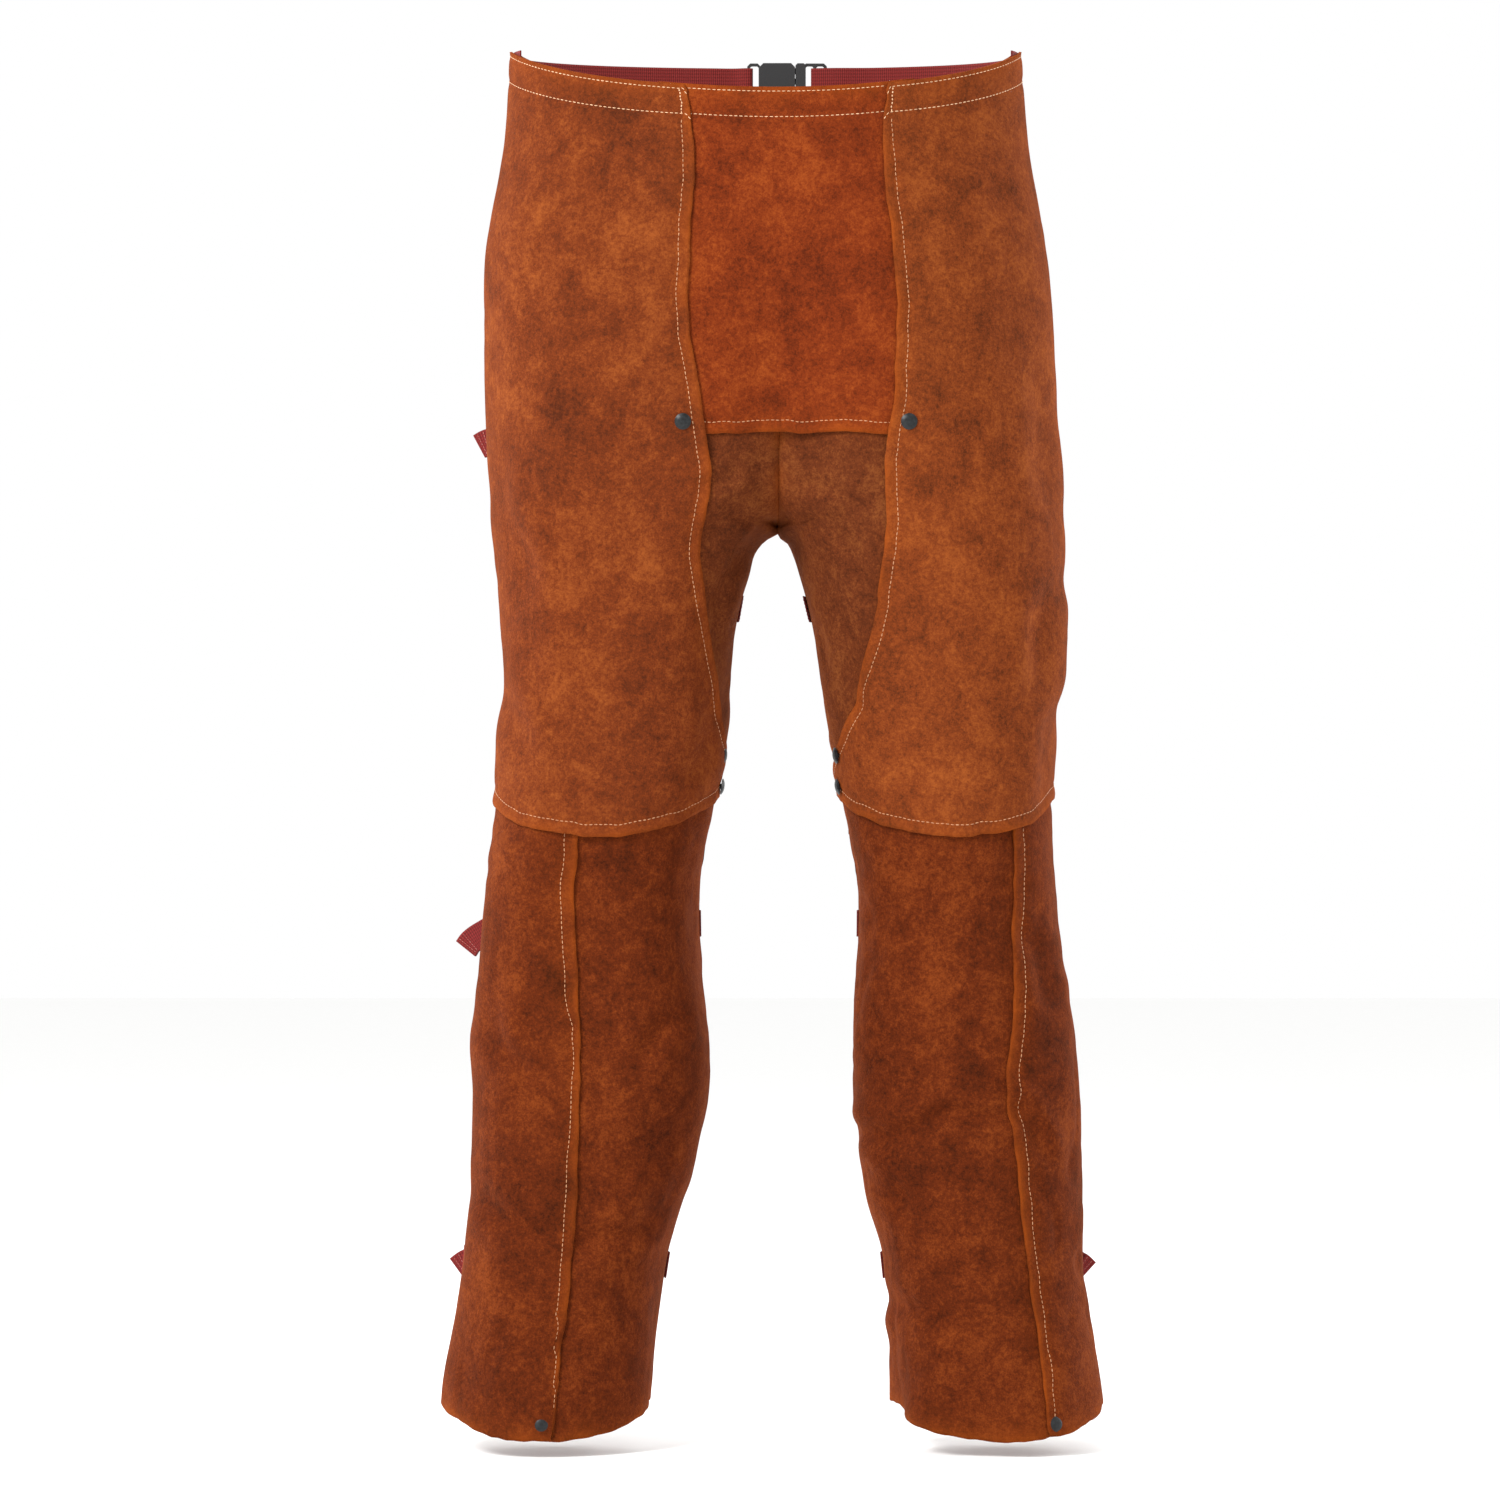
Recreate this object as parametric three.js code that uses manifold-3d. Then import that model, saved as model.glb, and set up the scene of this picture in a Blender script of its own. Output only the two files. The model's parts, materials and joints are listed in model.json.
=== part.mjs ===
// Open-back welding apron with split legs, cut from split cowhide, as it hangs when it is worn.
// Millimetres, +Z up, front towards -Y, wearer's right towards -X. The origin is the middle of the waist.
import * as THREE from "three";
import { mergeVertices } from "three/addons/utils/BufferGeometryUtils.js";
import Module from "manifold-3d";

const wasm = await Module();
wasm.setup();

// ---- Driving dimensions -------------------------------------------------------------------
const LEATHER = 1.4; // thickness of the hide
const PLY_GAP = 1.2; // clearance between stacked plies
const SEAM_LAP = 20; // how far one panel runs under its neighbour at a lap seam
const KNEE_LAP = 18; // how far the shin panels run up under the thigh panels
const FORK_SEAM_GAP = 0.4; // clearance between the two crotch panels at the centre line
const HEM_TUCK = 0.6; // how much deeper a shin panel sits where the thigh panel presses on it
const BAND_DEPTH = 27; // waistband, top edge to lower stitch row

// Heights are drops below the waist.
const TOP_RISE = 12; // top edge at the sides, above the waist
const FRONT_DIP = 36; // how much lower the top edge is at the front
const BIB_DROP = 275; // lower edge of the centre panel
const FORK_DROP = 342;
const KNEE_DROP = 538; // lower edge of the thigh panels at the sides
const KNEE_DIP = 30; // and how much lower they are in front
const HEM_DROP = 986;
const HEM_DIP = 22;

// Places down the leg, as shares of the drop from waist to fork, fork to knee, and knee to hem.
const belly = (share) => FORK_DROP * share;
const thigh = (share) => FORK_DROP + (KNEE_DROP - FORK_DROP) * share;
const shin = (share) => KNEE_DROP + (HEM_DROP - KNEE_DROP) * share;
const FOOT = HEM_DROP + HEM_DIP;

// Leg straps: where each one leaves the outer edge and is sewn to the inner edge.
const STRAP_LEVELS = {
  thigh: [belly(0.784), thigh(0.296)],
  knee: [shin(0.201), shin(0.214)],
  ankle: [shin(0.772), shin(0.781)],
};
const WEBBING_WIDTH = 20;
const WEBBING = 1.3; // thickness
const STRAP_GAP = 0.45; // between webbing and what it is sewn to
const LEG_BOW = 135; // radius of the leg's bow from top to bottom, which flat webbing bridges
const SEWN_LENGTH = 22; // webbing that lies on the leather at a sewn end
const TAIL_HEM = 9; // folded and stitched end of a strap tail

// Wire slide buckle: three bars and two rails.
const WIRE = 2.2;
const BAR_PITCH = 8;
const BUCKLE_SLACK = 1.4; // between webbing edge and rail
const EYE_SLACK = 0.8; // between the wire and the webbing loop that carries it
const EYE_WALL = 1.4;
const EYE_REACH = 6; // from the panel's edge to the middle of the loop

// Rivets
const RIVET_HEAD = 12; // diameter
const RIVET_DOME = 2.2; // height of the head
const RIVET_SHANK = 4;
const BURR = 9.5; // washer diameter
const BURR_THICK = 0.9;
const SEAT_GAP = 0.3; // clearance of each rivet surface
const RIVET_EDGE = 8; // rivet centre to the panel's edge

// Side-release buckle on the waist belt
const BELT_GAP = 0.8; // between the belt and the waistband facing it is sewn to
const HOUSING_LENGTH = 27;
const HOUSING_THICK = 8.4;
const HOUSING_WALL = 1.6;
const HOUSING_SIDE = 2.4;
const PLUG_GAP = 0.35;
const ARM_WIDTH = 3.2;

const PLY = LEATHER + PLY_GAP;
const STRAP_LIFT = STRAP_GAP + WEBBING_WIDTH ** 2 / (8 * LEG_BOW); // of webbing off the hide
const ROUNDNESS = 2.3; // exponent of the superellipse sections: 2 is an ellipse
const RIGHT = -1;
const LEFT = 1;
const UP = new THREE.Vector3(0, 0, 1);

// Sections of each side: drop, middle of the leg, outermost and innermost reach from the centre line.
// Above the fork the inner reach is past the centre line, so that the two sides share one belly.
const GIRTHS = {
  [RIGHT]: [
    [-20, 0, 199, -199],
    [belly(0.12), 0, 201, -201],
    [belly(0.45), 45, 217, -155],
    [BIB_DROP, 85, 216, -95],
    [FORK_DROP, 106, 213, 0],
    [thigh(0.11), 108, 208, 20],
    [thigh(0.45), 118, 206, 33],
    [thigh(0.91), 126, 209, 40],
    [shin(0.205), 139, 221, 56],
    [shin(0.45), 140, 230, 48],
    [shin(0.62), 146, 231, 60],
    [shin(0.775), 158, 236, 80],
    [FOOT, 169, 249, 91],
  ],
  [LEFT]: [
    [-20, 0, 181, -181],
    [belly(0.12), 0, 184, -184],
    [belly(0.45), 45, 201, -155],
    [BIB_DROP, 85, 207, -95],
    [FORK_DROP, 106, 212, 0],
    [thigh(0.11), 108, 212, 12],
    [thigh(0.45), 119, 212, 29],
    [thigh(0.91), 124, 206, 40],
    [shin(0.205), 134, 211, 58],
    [shin(0.45), 139, 225, 53],
    [shin(0.62), 143, 228, 58],
    [shin(0.775), 153, 229, 76],
    [FOOT, 163, 244, 82],
  ],
};
// Depths, the same on both sides: drop, middle, reach forwards, reach backwards.
const DEPTHS = [
  [-20, 0, 108, 104],
  [belly(0.45), 0, 116, 108],
  [FORK_DROP, 4, 112, 96],
  [thigh(0.45), 5, 105, 90],
  [KNEE_DROP, 5, 97, 80],
  [shin(0.205), 10, 92, 76],
  [shin(0.45), 12, 90, 82],
  [shin(0.775), 9, 90, 68],
  [FOOT, 0, 95, 66],
];
// Edges, as angles round the leg: 0 faces forwards, positive turns inwards, negative outwards.
const THIGH_INNER_EDGE = {
  [RIGHT]: [
    [0, -17], [belly(0.45), -5], [BIB_DROP, 8], [FORK_DROP, 26], [thigh(0.45), 53], [thigh(0.8), 78],
    [thigh(0.96), 100],
  ],
  [LEFT]: [
    [0, -23], [belly(0.45), -12], [BIB_DROP, 1], [FORK_DROP, 12], [thigh(0.45), 34], [thigh(0.8), 64],
    [thigh(0.98), 100],
  ],
};
const SHIN_SEAM = {
  [RIGHT]: [[KNEE_DROP, -8], [shin(0.33), -3], [shin(0.57), -1], [shin(0.82), 4], [FOOT, 3]],
  [LEFT]: [[KNEE_DROP, -33], [shin(0.33), -24], [shin(0.48), -16], [shin(0.61), -20], [FOOT, -22]],
};
const OUTER_EDGE = [
  [0, -100], [belly(0.45), -112], [FORK_DROP, -118], [KNEE_DROP, -118], [shin(0.45), -122], [FOOT, -116],
];
const FORK_EDGE = [[FORK_DROP, 90], [thigh(0.11), 97], [thigh(0.45), 104], [thigh(0.91), 108]];
const SHIN_INNER_EDGE = [[thigh(0.8), 104], [shin(0.45), 112], [FOOT, 108]];

// ---- Small helpers ------------------------------------------------------------------------
const rad = (degrees) => (degrees * Math.PI) / 180;
const mix = (a, b, t) => a + (b - a) * t;
const clamp = (t) => Math.min(1, Math.max(0, t));
const ease = (t) => clamp(t) ** 2 * (3 - 2 * clamp(t));
const spread = (n, from = 0, to = 1) => Array.from({ length: n + 1 }, (_, i) => mix(from, to, i / n));

// A smooth curve through rows of [at, value...] that never overshoots between two rows.
function through(rows, column, at) {
  const n = rows.length;
  if (at <= rows[0][0]) return rows[0][column];
  if (at >= rows[n - 1][0]) return rows[n - 1][column];
  const i = rows.findIndex((row) => row[0] > at) - 1;
  const rate = (k) => (rows[k + 1][column] - rows[k][column]) / (rows[k + 1][0] - rows[k][0]);
  const slope = (k) => {
    if (k === 0 || k === n - 1 || rate(k - 1) * rate(k) <= 0) return 0;
    return (2 * rate(k - 1) * rate(k)) / (rate(k - 1) + rate(k));
  };
  const span = rows[i + 1][0] - rows[i][0];
  const t = (at - rows[i][0]) / span;
  const keep = (1 + 2 * t) * (1 - t) ** 2;
  return (
    keep * rows[i][column] +
    (1 - keep) * rows[i + 1][column] +
    t * (1 - t) * span * ((1 - t) * slope(i) - t * slope(i + 1))
  );
}

// ---- The worn shape -----------------------------------------------------------------------
function section(side, drop) {
  const [middle, outer, inner] = [1, 2, 3].map((c) => through(GIRTHS[side], c, drop));
  const [centre, front, back] = [1, 2, 3].map((c) => through(DEPTHS, c, drop));
  return { middle, outward: outer - middle, inward: middle - inner, centre, front, back };
}

// A point on the leg's surface, at an angle in degrees and a drop below the waist.
function skin(side, angle, drop) {
  const s = section(side, drop);
  const across = Math.abs(Math.sin(rad(angle))) ** (2 / ROUNDNESS);
  const along = Math.abs(Math.cos(rad(angle))) ** (2 / ROUNDNESS);
  const x = s.middle + (angle < 0 ? s.outward : -s.inward) * across;
  const y = s.centre + (Math.abs(angle) < 90 ? -s.front : s.back) * along;
  return new THREE.Vector3(side * x, y, -drop);
}

// The angle at which the front of the surface is a given distance from the centre line.
function angleAt(side, distance, drop) {
  const s = section(side, drop);
  const share = distance > s.middle ? (distance - s.middle) / s.outward : (s.middle - distance) / s.inward;
  const angle = (Math.asin(Math.min(1, share ** (ROUNDNESS / 2))) * 180) / Math.PI;
  return distance > s.middle ? -angle : angle;
}

function outwards(side, angle, drop) {
  const step = 2;
  const round = skin(side, angle + step, drop).sub(skin(side, angle - step, drop));
  const down = skin(side, angle, drop + step).sub(skin(side, angle, drop - step));
  return round.cross(down).multiplyScalar(side).normalize();
}

const offSkin = (side, angle, drop, off) =>
  skin(side, angle, drop).addScaledVector(outwards(side, angle, drop), off);

// How far forwards a point is: 1 at the very front, 0 at the sides and behind.
const frontness = (angle) => Math.max(0, Math.cos(rad(angle))) ** 1.3;
const topDrop = (angle) => -TOP_RISE + FRONT_DIP * frontness(angle);
const kneeDrop = (angle) => KNEE_DROP + KNEE_DIP * frontness(angle);
const hemDrop = (angle) => HEM_DROP + HEM_DIP * frontness(angle);

// ---- Solids -------------------------------------------------------------------------------
// A closed sheet from a grid of points on its outer face and the same grid on its inner face.
function sheet(outer, inner) {
  const rows = outer.length;
  const columns = outer[0].length;
  const corners = [...outer.flat(), ...inner.flat()];
  const points = corners.flatMap((p) => p.toArray());
  const index = [];
  const at = (layer, r, c) => layer * rows * columns + r * columns + c;
  // Each quad is split along its shorter diagonal, so a sheared grid stays close to the curved face.
  const quad = (a, b, c, d) => {
    const longer = corners[a].distanceTo(corners[c]) > corners[b].distanceTo(corners[d]) + 1e-6;
    index.push(...(longer ? [b, c, d, b, d, a] : [a, b, c, a, c, d]));
  };
  for (let r = 0; r + 1 < rows; r += 1) {
    for (let c = 0; c + 1 < columns; c += 1) {
      quad(at(0, r, c), at(0, r + 1, c), at(0, r + 1, c + 1), at(0, r, c + 1));
      quad(at(1, r, c), at(1, r, c + 1), at(1, r + 1, c + 1), at(1, r + 1, c));
    }
    quad(at(0, r, 0), at(1, r, 0), at(1, r + 1, 0), at(0, r + 1, 0));
    quad(at(0, r, columns - 1), at(0, r + 1, columns - 1), at(1, r + 1, columns - 1), at(1, r, columns - 1));
  }
  for (let c = 0; c + 1 < columns; c += 1) {
    quad(at(0, 0, c), at(0, 0, c + 1), at(1, 0, c + 1), at(1, 0, c));
    quad(at(0, rows - 1, c), at(1, rows - 1, c), at(1, rows - 1, c + 1), at(0, rows - 1, c + 1));
  }
  const geometry = new THREE.BufferGeometry();
  geometry.setAttribute("position", new THREE.Float32BufferAttribute(points, 3));
  geometry.setIndex(index);
  return solid(geometry);
}

// A closed mesh as a manifold-3d solid, facing out whichever way round it was drawn.
function solid(geometry) {
  const bare = geometry.index ? geometry.toNonIndexed() : geometry.clone();
  for (const name of Object.keys(bare.attributes)) {
    if (name !== "position") bare.deleteAttribute(name);
  }
  const merged = mergeVertices(bare, 1e-4);
  const made = (triVerts) =>
    new wasm.Manifold(
      new wasm.Mesh({ numProp: 3, vertProperties: merged.attributes.position.array, triVerts }),
    );
  const first = made(new Uint32Array(merged.index.array));
  return first.volume() > 0 ? first : made(new Uint32Array(merged.index.array).reverse());
}

function geometryOf(body) {
  const mesh = body.getMesh();
  const geometry = new THREE.BufferGeometry();
  geometry.setAttribute("position", new THREE.BufferAttribute(mesh.vertProperties, 3));
  geometry.setIndex(new THREE.BufferAttribute(mesh.triVerts, 1));
  geometry.computeVertexNormals();
  return geometry;
}

const moved = (geometry, matrix) => solid(geometry.clone().applyMatrix4(matrix));

// A flat outline with holes, of an even thickness about its own plane.
function plate(outline, holes, thickness) {
  const shape = new THREE.Shape(outline);
  shape.holes = holes.map((hole) => new THREE.Path(hole));
  return new THREE.ExtrudeGeometry(shape, { depth: thickness, bevelEnabled: false }).translate(
    0,
    0,
    -thickness / 2,
  );
}

// The corners of a rectangle from u0 to u1 and from -half to half, its corners cut by the given size.
function chamfered(u0, u1, half, cut) {
  const corners = [
    [u0 + cut, -half], [u1 - cut, -half], [u1, -half + cut], [u1, half - cut],
    [u1 - cut, half], [u0 + cut, half], [u0, half - cut], [u0, -half + cut],
  ];
  return corners.map(([u, v]) => new THREE.Vector2(u, v));
}

// A stop on a ribbon's way: its middle, and the direction of its width.
const level = (p) => ({ p, wide: UP });
function onSkin(side, angle, drop, off, lean = 1) {
  const half = WEBBING_WIDTH / 2;
  const wide = skin(side, angle, drop - half).sub(skin(side, angle, drop + half)).normalize();
  return { p: offSkin(side, angle, drop, off), wide: UP.clone().lerp(wide, lean) };
}

// A ribbon through such stops, thicker over its last stretch where the end is folded and stitched.
function ribbon(stops, { hem = 0 } = {}) {
  const line = stops.map((stop) => stop.p);
  const lengths = line.map((p, i) => (i ? p.distanceTo(line[i - 1]) : 0));
  const total = lengths.reduce((a, b) => a + b, 0);
  const outer = [];
  const inner = [];
  let run = 0;
  line.forEach((p, i) => {
    run += lengths[i];
    const ahead = line[Math.min(i + 1, line.length - 1)];
    const behind = line[Math.max(i - 1, 0)];
    const along = ahead.clone().sub(behind).normalize();
    const wide = stops[i].wide.clone().addScaledVector(along, -along.dot(stops[i].wide)).normalize();
    const thick = along.clone().cross(wide);
    const half = (WEBBING / 2) * (hem && run > total - hem ? 1.7 : 1);
    const face = (across) =>
      [0.5, -0.5].map((t) =>
        p.clone().addScaledVector(wide, t * WEBBING_WIDTH).addScaledVector(thick, across),
      );
    outer.push(face(half));
    inner.push(face(-half));
  });
  return sheet(outer, inner);
}

// ---- Leather panels -----------------------------------------------------------------------
// A panel between two edges round the leg, and from its top to its bottom, each given by a function.
function panel({ side, columns, rows, from, to, top, bottom, off = () => 0, pin = null }) {
  const outer = [];
  const inner = [];
  // The edges depend on the drop and the drop on the angle, so the two are found together.
  const settle = (u, v) => {
    let drop = mix(top(0), bottom(0), v);
    let angle = mix(from(drop), to(drop), u);
    for (let pass = 0; pass < 12; pass += 1) {
      drop = mix(top(angle), bottom(angle), v);
      angle = mix(from(drop), to(drop), u);
    }
    return { angle, drop };
  };
  for (const v of rows) {
    const line = columns.map((u) => {
      const { angle, drop } = settle(u, v);
      const depth = off(angle, drop);
      const faces = [depth, depth - LEATHER].map((d) => offSkin(side, angle, drop, d));
      if (pin) faces.forEach((p) => pin(p, u, drop));
      return faces;
    });
    outer.push(line.map((faces) => faces[0]));
    inner.push(line.map((faces) => faces[1]));
  }
  return sheet(outer, inner);
}

const outerEdge = (drop) => through(OUTER_EDGE, 1, drop);
const thighInner = (side, drop) => through(THIGH_INNER_EDGE[side], 1, drop);
const shinSeam = (side, drop) => through(SHIN_SEAM[side], 1, drop);
// The angle that a length of leather spans round the leg.
const spanned = (side, length, drop) => ((length / section(side, drop).front) * 180) / Math.PI;

// Enough rows to keep them a set distance apart.
const rowsFor = (length, pitch) => Math.ceil(length / pitch);
const TURN_PITCH = (KNEE_DROP - FORK_DROP) / 13; // close enough to follow the inner edge's turn

const thighPanel = (side) =>
  panel({
    side,
    columns: spread(17),
    rows: spread(rowsFor(KNEE_DROP + KNEE_DIP, TURN_PITCH * 1.6)),
    from: outerEdge,
    to: (drop) => thighInner(side, drop),
    top: topDrop,
    bottom: kneeDrop,
  });

const shinRows = [
  0,
  KNEE_LAP / (HEM_DROP - KNEE_DROP + KNEE_LAP),
  ...spread(rowsFor(HEM_DROP - KNEE_DROP, 24), 0.09, 1),
];
const shinTop = (angle) => kneeDrop(angle) - KNEE_LAP;
const shinPly = (angle, drop) => -PLY - HEM_TUCK * (1 - ease((drop - kneeDrop(angle)) / 25));

const outerShinPanel = (side) =>
  panel({
    side,
    columns: spread(11),
    rows: shinRows,
    from: outerEdge,
    to: (drop) => shinSeam(side, drop),
    top: shinTop,
    bottom: hemDrop,
    off: shinPly,
  });

// Under the outer shin panel along the seam, and level with it further round.
function innerShinPanel(side) {
  const start = (drop) => shinSeam(side, drop) - spanned(side, SEAM_LAP, drop);
  return panel({
    side,
    columns: [0, 0.06, 0.12, 0.18, 0.26, 0.35, 0.44, 0.53, 0.62, 0.71, 0.8, 0.9, 1],
    rows: shinRows,
    from: start,
    to: (drop) => through(SHIN_INNER_EDGE, 1, drop),
    top: shinTop,
    bottom: hemDrop,
    off: (angle, drop) =>
      shinPly(angle, drop) - PLY * (1 - ease((angle - shinSeam(side, drop) - 3) / 12)),
  });
}

// Two plies down at the lap with the centre panel, one ply down at the thigh seam below it, and flush
// with the leg's skin at the fork and along the free inner edge.
const seamPly = (drop) => -PLY * (2 - ease((drop - BIB_DROP - 12) / 30));
const CROTCH_END = KNEE_DROP - KNEE_LAP - 3; // just above the shin panels

function crotchPanel(side) {
  const from = (drop) => thighInner(side, drop) - spanned(side, SEAM_LAP, drop);
  const to = (drop) =>
    drop < FORK_DROP ? angleAt(side, FORK_SEAM_GAP / 2, drop) : through(FORK_EDGE, 1, drop);
  const top = BIB_DROP - SEAM_LAP;
  const bottom = CROTCH_END;
  const above = [-60, -40, -24, -12, -5].map((d) => FORK_DROP + d);
  const below = [0, 7, 16, 28].map((d) => FORK_DROP + d);
  const last = below.at(-1);
  const rest = spread(rowsFor(bottom - last, TURN_PITCH), last, bottom).slice(1);
  const behindBib = (drop) => mix(-2 * PLY - 5, 0, ease((drop - BIB_DROP - 22) / 30));
  return panel({
    side,
    columns: spread(9),
    rows: [top, ...above, ...below, ...rest].map((d) => (d - top) / (bottom - top)),
    from,
    to,
    top: () => top,
    bottom: () => bottom,
    off: (angle, drop) =>
      mix(seamPly(drop), behindBib(drop), ease((angle - thighInner(side, drop) - 8) / 14)),
    pin: (p, u, drop) => {
      if (u === 1 && drop <= FORK_DROP) p.x = (side * FORK_SEAM_GAP) / 2;
    },
  });
}

// The belly between the two thighs: each side's own skin under the thigh panels, blended between them.
function frontOfBelly(x, drop, off) {
  const at = (side) => offSkin(side, angleAt(side, side * x, drop), drop, off);
  const share = ease((x + 40) / 80);
  if (share === 0) return at(RIGHT);
  if (share === 1) return at(LEFT);
  return at(RIGHT).lerp(at(LEFT), share);
}

function centrePanel() {
  const edge = (side, drop) => {
    const seam = skin(side, thighInner(side, drop), drop).x;
    return seam + side * SEAM_LAP;
  };
  const faces = (off) =>
    spread(9).map((v) =>
      spread(9).map((u) => {
        const nominal = mix(0, BIB_DROP, v);
        const x = mix(edge(RIGHT, nominal), edge(LEFT, nominal), u);
        const reach = section(x < 0 ? RIGHT : LEFT, 0).outward;
        const top = -TOP_RISE + FRONT_DIP * (1 - (Math.abs(x) / reach) ** 2) ** 0.65;
        return frontOfBelly(x, mix(top, BIB_DROP, v), off);
      }),
    );
  return sheet(faces(-PLY), faces(-PLY - LEATHER));
}

// Inner strip of the waistband, right round the front from one end of the band to the other.
function waistFacing() {
  const reach = -outerEdge(0) - 2;
  const faces = (off) =>
    [1, BAND_DEPTH].map((below) =>
      spread(24, -reach, reach).map((turn) => {
        const side = turn < 0 ? RIGHT : LEFT;
        return offSkin(side, -Math.abs(turn), topDrop(turn) + below, off);
      }),
    );
  return sheet(faces(-2 * PLY), faces(-2 * PLY - LEATHER));
}

// ---- Frames on the edge of a panel --------------------------------------------------------
// u runs backwards round the leg, w points away from it, and both are level.
function edgeFrame(side, angle, drop, off) {
  const origin = offSkin(side, angle, drop, off);
  const w = outwards(side, angle, drop).setZ(0).normalize();
  const u = skin(side, angle - 2, drop).sub(skin(side, angle, drop)).setZ(0);
  u.addScaledVector(w, -u.dot(w)).normalize();
  return frameOf(origin, u, w);
}

function frameOf(origin, u, w) {
  const v = w.clone().cross(u);
  return {
    matrix: new THREE.Matrix4().makeBasis(u, v, w).setPosition(origin),
    at: (a, b, down = 0) =>
      origin.clone().addScaledVector(u, a).addScaledVector(w, b).addScaledVector(UP, -down),
  };
}

// ---- Strap hardware -----------------------------------------------------------------------
const EYE_HOLE = (WIRE * Math.SQRT2 + EYE_SLACK) / 2; // radius that lets the square wire turn
const EYE = EYE_HOLE + EYE_WALL;
const RAIL = WEBBING_WIDTH / 2 + BUCKLE_SLACK; // middle of the buckle to the inside of its rail

// A loop of webbing about the line u = reach in a frame, joined to a body that reaches it.
function withEye(body, frame, reach) {
  const segments = 14;
  const turned = new THREE.Matrix4().makeRotationX(Math.PI / 2);
  const place = frame.matrix.clone().multiply(new THREE.Matrix4().makeTranslation(reach, 0, 0));
  const upright = place.multiply(turned);
  const round = (radius, height) =>
    moved(
      new THREE.CylinderGeometry(radius, radius, height, segments).rotateX(Math.PI / 2),
      upright,
    );
  return body.add(round(EYE, WEBBING_WIDTH)).subtract(round(EYE_HOLE, WEBBING_WIDTH + 2));
}

// The strap hardware at one height: where its panel ends, and the frame of its buckle.
function anchorage(side, height) {
  const drop = STRAP_LEVELS[height][0];
  const off = height === "thigh" ? 0 : -PLY;
  const angle = outerEdge(drop);
  const seat = off + STRAP_LIFT + WEBBING;
  return { drop, off, angle, seat, frame: edgeFrame(side, angle, drop, seat) };
}

// A folded tab of webbing, sewn to the outer face of the panel, with the buckle's bar in its loop.
function strapTab(side, height) {
  const { drop, angle, seat, frame } = anchorage(side, height);
  const half = WEBBING_WIDTH / 2;
  const reach = spanned(side, SEWN_LENGTH, drop);
  const sewn = (t, down, off) => offSkin(side, angle + reach * (1 - t), drop + down, off);
  const face = (off) => spread(3).map((t) => [-half, half].map((down) => sewn(t, down, off)));
  const neck = (w) => [-half, half].map((down) => frame.at(EYE_REACH - EYE_HOLE - 0.5, w, down));
  const body = sheet([...face(seat + WEBBING), neck(WEBBING)], [...face(seat - WEBBING), neck(-WEBBING)]);
  return withEye(body, frame, EYE_REACH);
}

const buckleWindow = (bar) => chamfered(bar + WIRE / 2, bar + BAR_PITCH - WIRE / 2, RAIL, 1);

// Three bars and two rails; the first bar turns in the tab's loop.
function slideBuckle(side, height) {
  const { frame } = anchorage(side, height);
  const outline = chamfered(-WIRE / 2, 2 * BAR_PITCH + WIRE / 2, RAIL + WIRE, 2.2);
  const shape = plate(outline, [buckleWindow(0), buckleWindow(BAR_PITCH)], WIRE);
  return moved(shape.translate(EYE_REACH, 0, 0), frame.matrix);
}

const past = WIRE / 2 + 1.5; // from a slide's end bar to where the webbing is clear of it

// The line of a webbing end through the two windows of a slide: under both bars, back over the middle
// one, and out between the end bar and itself. Places are [u, w] from the slide's first bar.
function threaded() {
  const off = 0.35 + WEBBING / 2; // from a bar's face to the webbing's middle
  const clear = WIRE / 2 + off;
  const middle = BAR_PITCH;
  const end = 2 * BAR_PITCH;
  const under = -clear - WEBBING - 0.45; // the loaded run, below the tail
  const tight = WIRE / 2 + off * 0.58;
  return {
    loaded: [[end + past + 2.4, under - 0.7], [end, under], [end - 4, under + 0.6], [middle, -clear - 0.1]],
    turn: [
      [middle - tight - 0.3, -tight], [middle - clear - 0.3, 0], [middle - tight - 0.3, tight],
      [middle, clear + 0.1], [middle + tight + 0.4, tight],
    ],
    out: [[middle + 4.2, -0.5], [end - 2.2, -clear + 0.2], [end, -clear - 0.05], [end + past, -1.8]],
  };
}

// A tail that leaves the slide, turns away from the leg and drops: reach outwards and downwards.
function tailLine(frame, first, reach, fall) {
  return spread(5)
    .slice(1)
    .map((t) => frame.at(first + 2.5 + 5 * Math.sin(t * 2.2), mix(-1, reach, t), fall * t * t));
}

const TAILS = {
  [RIGHT]: { thigh: [24, 8], knee: [34, 27], ankle: [26, 12] },
  [LEFT]: { thigh: [16, 8], knee: [15, 16], ankle: [24, 14] },
};

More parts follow.
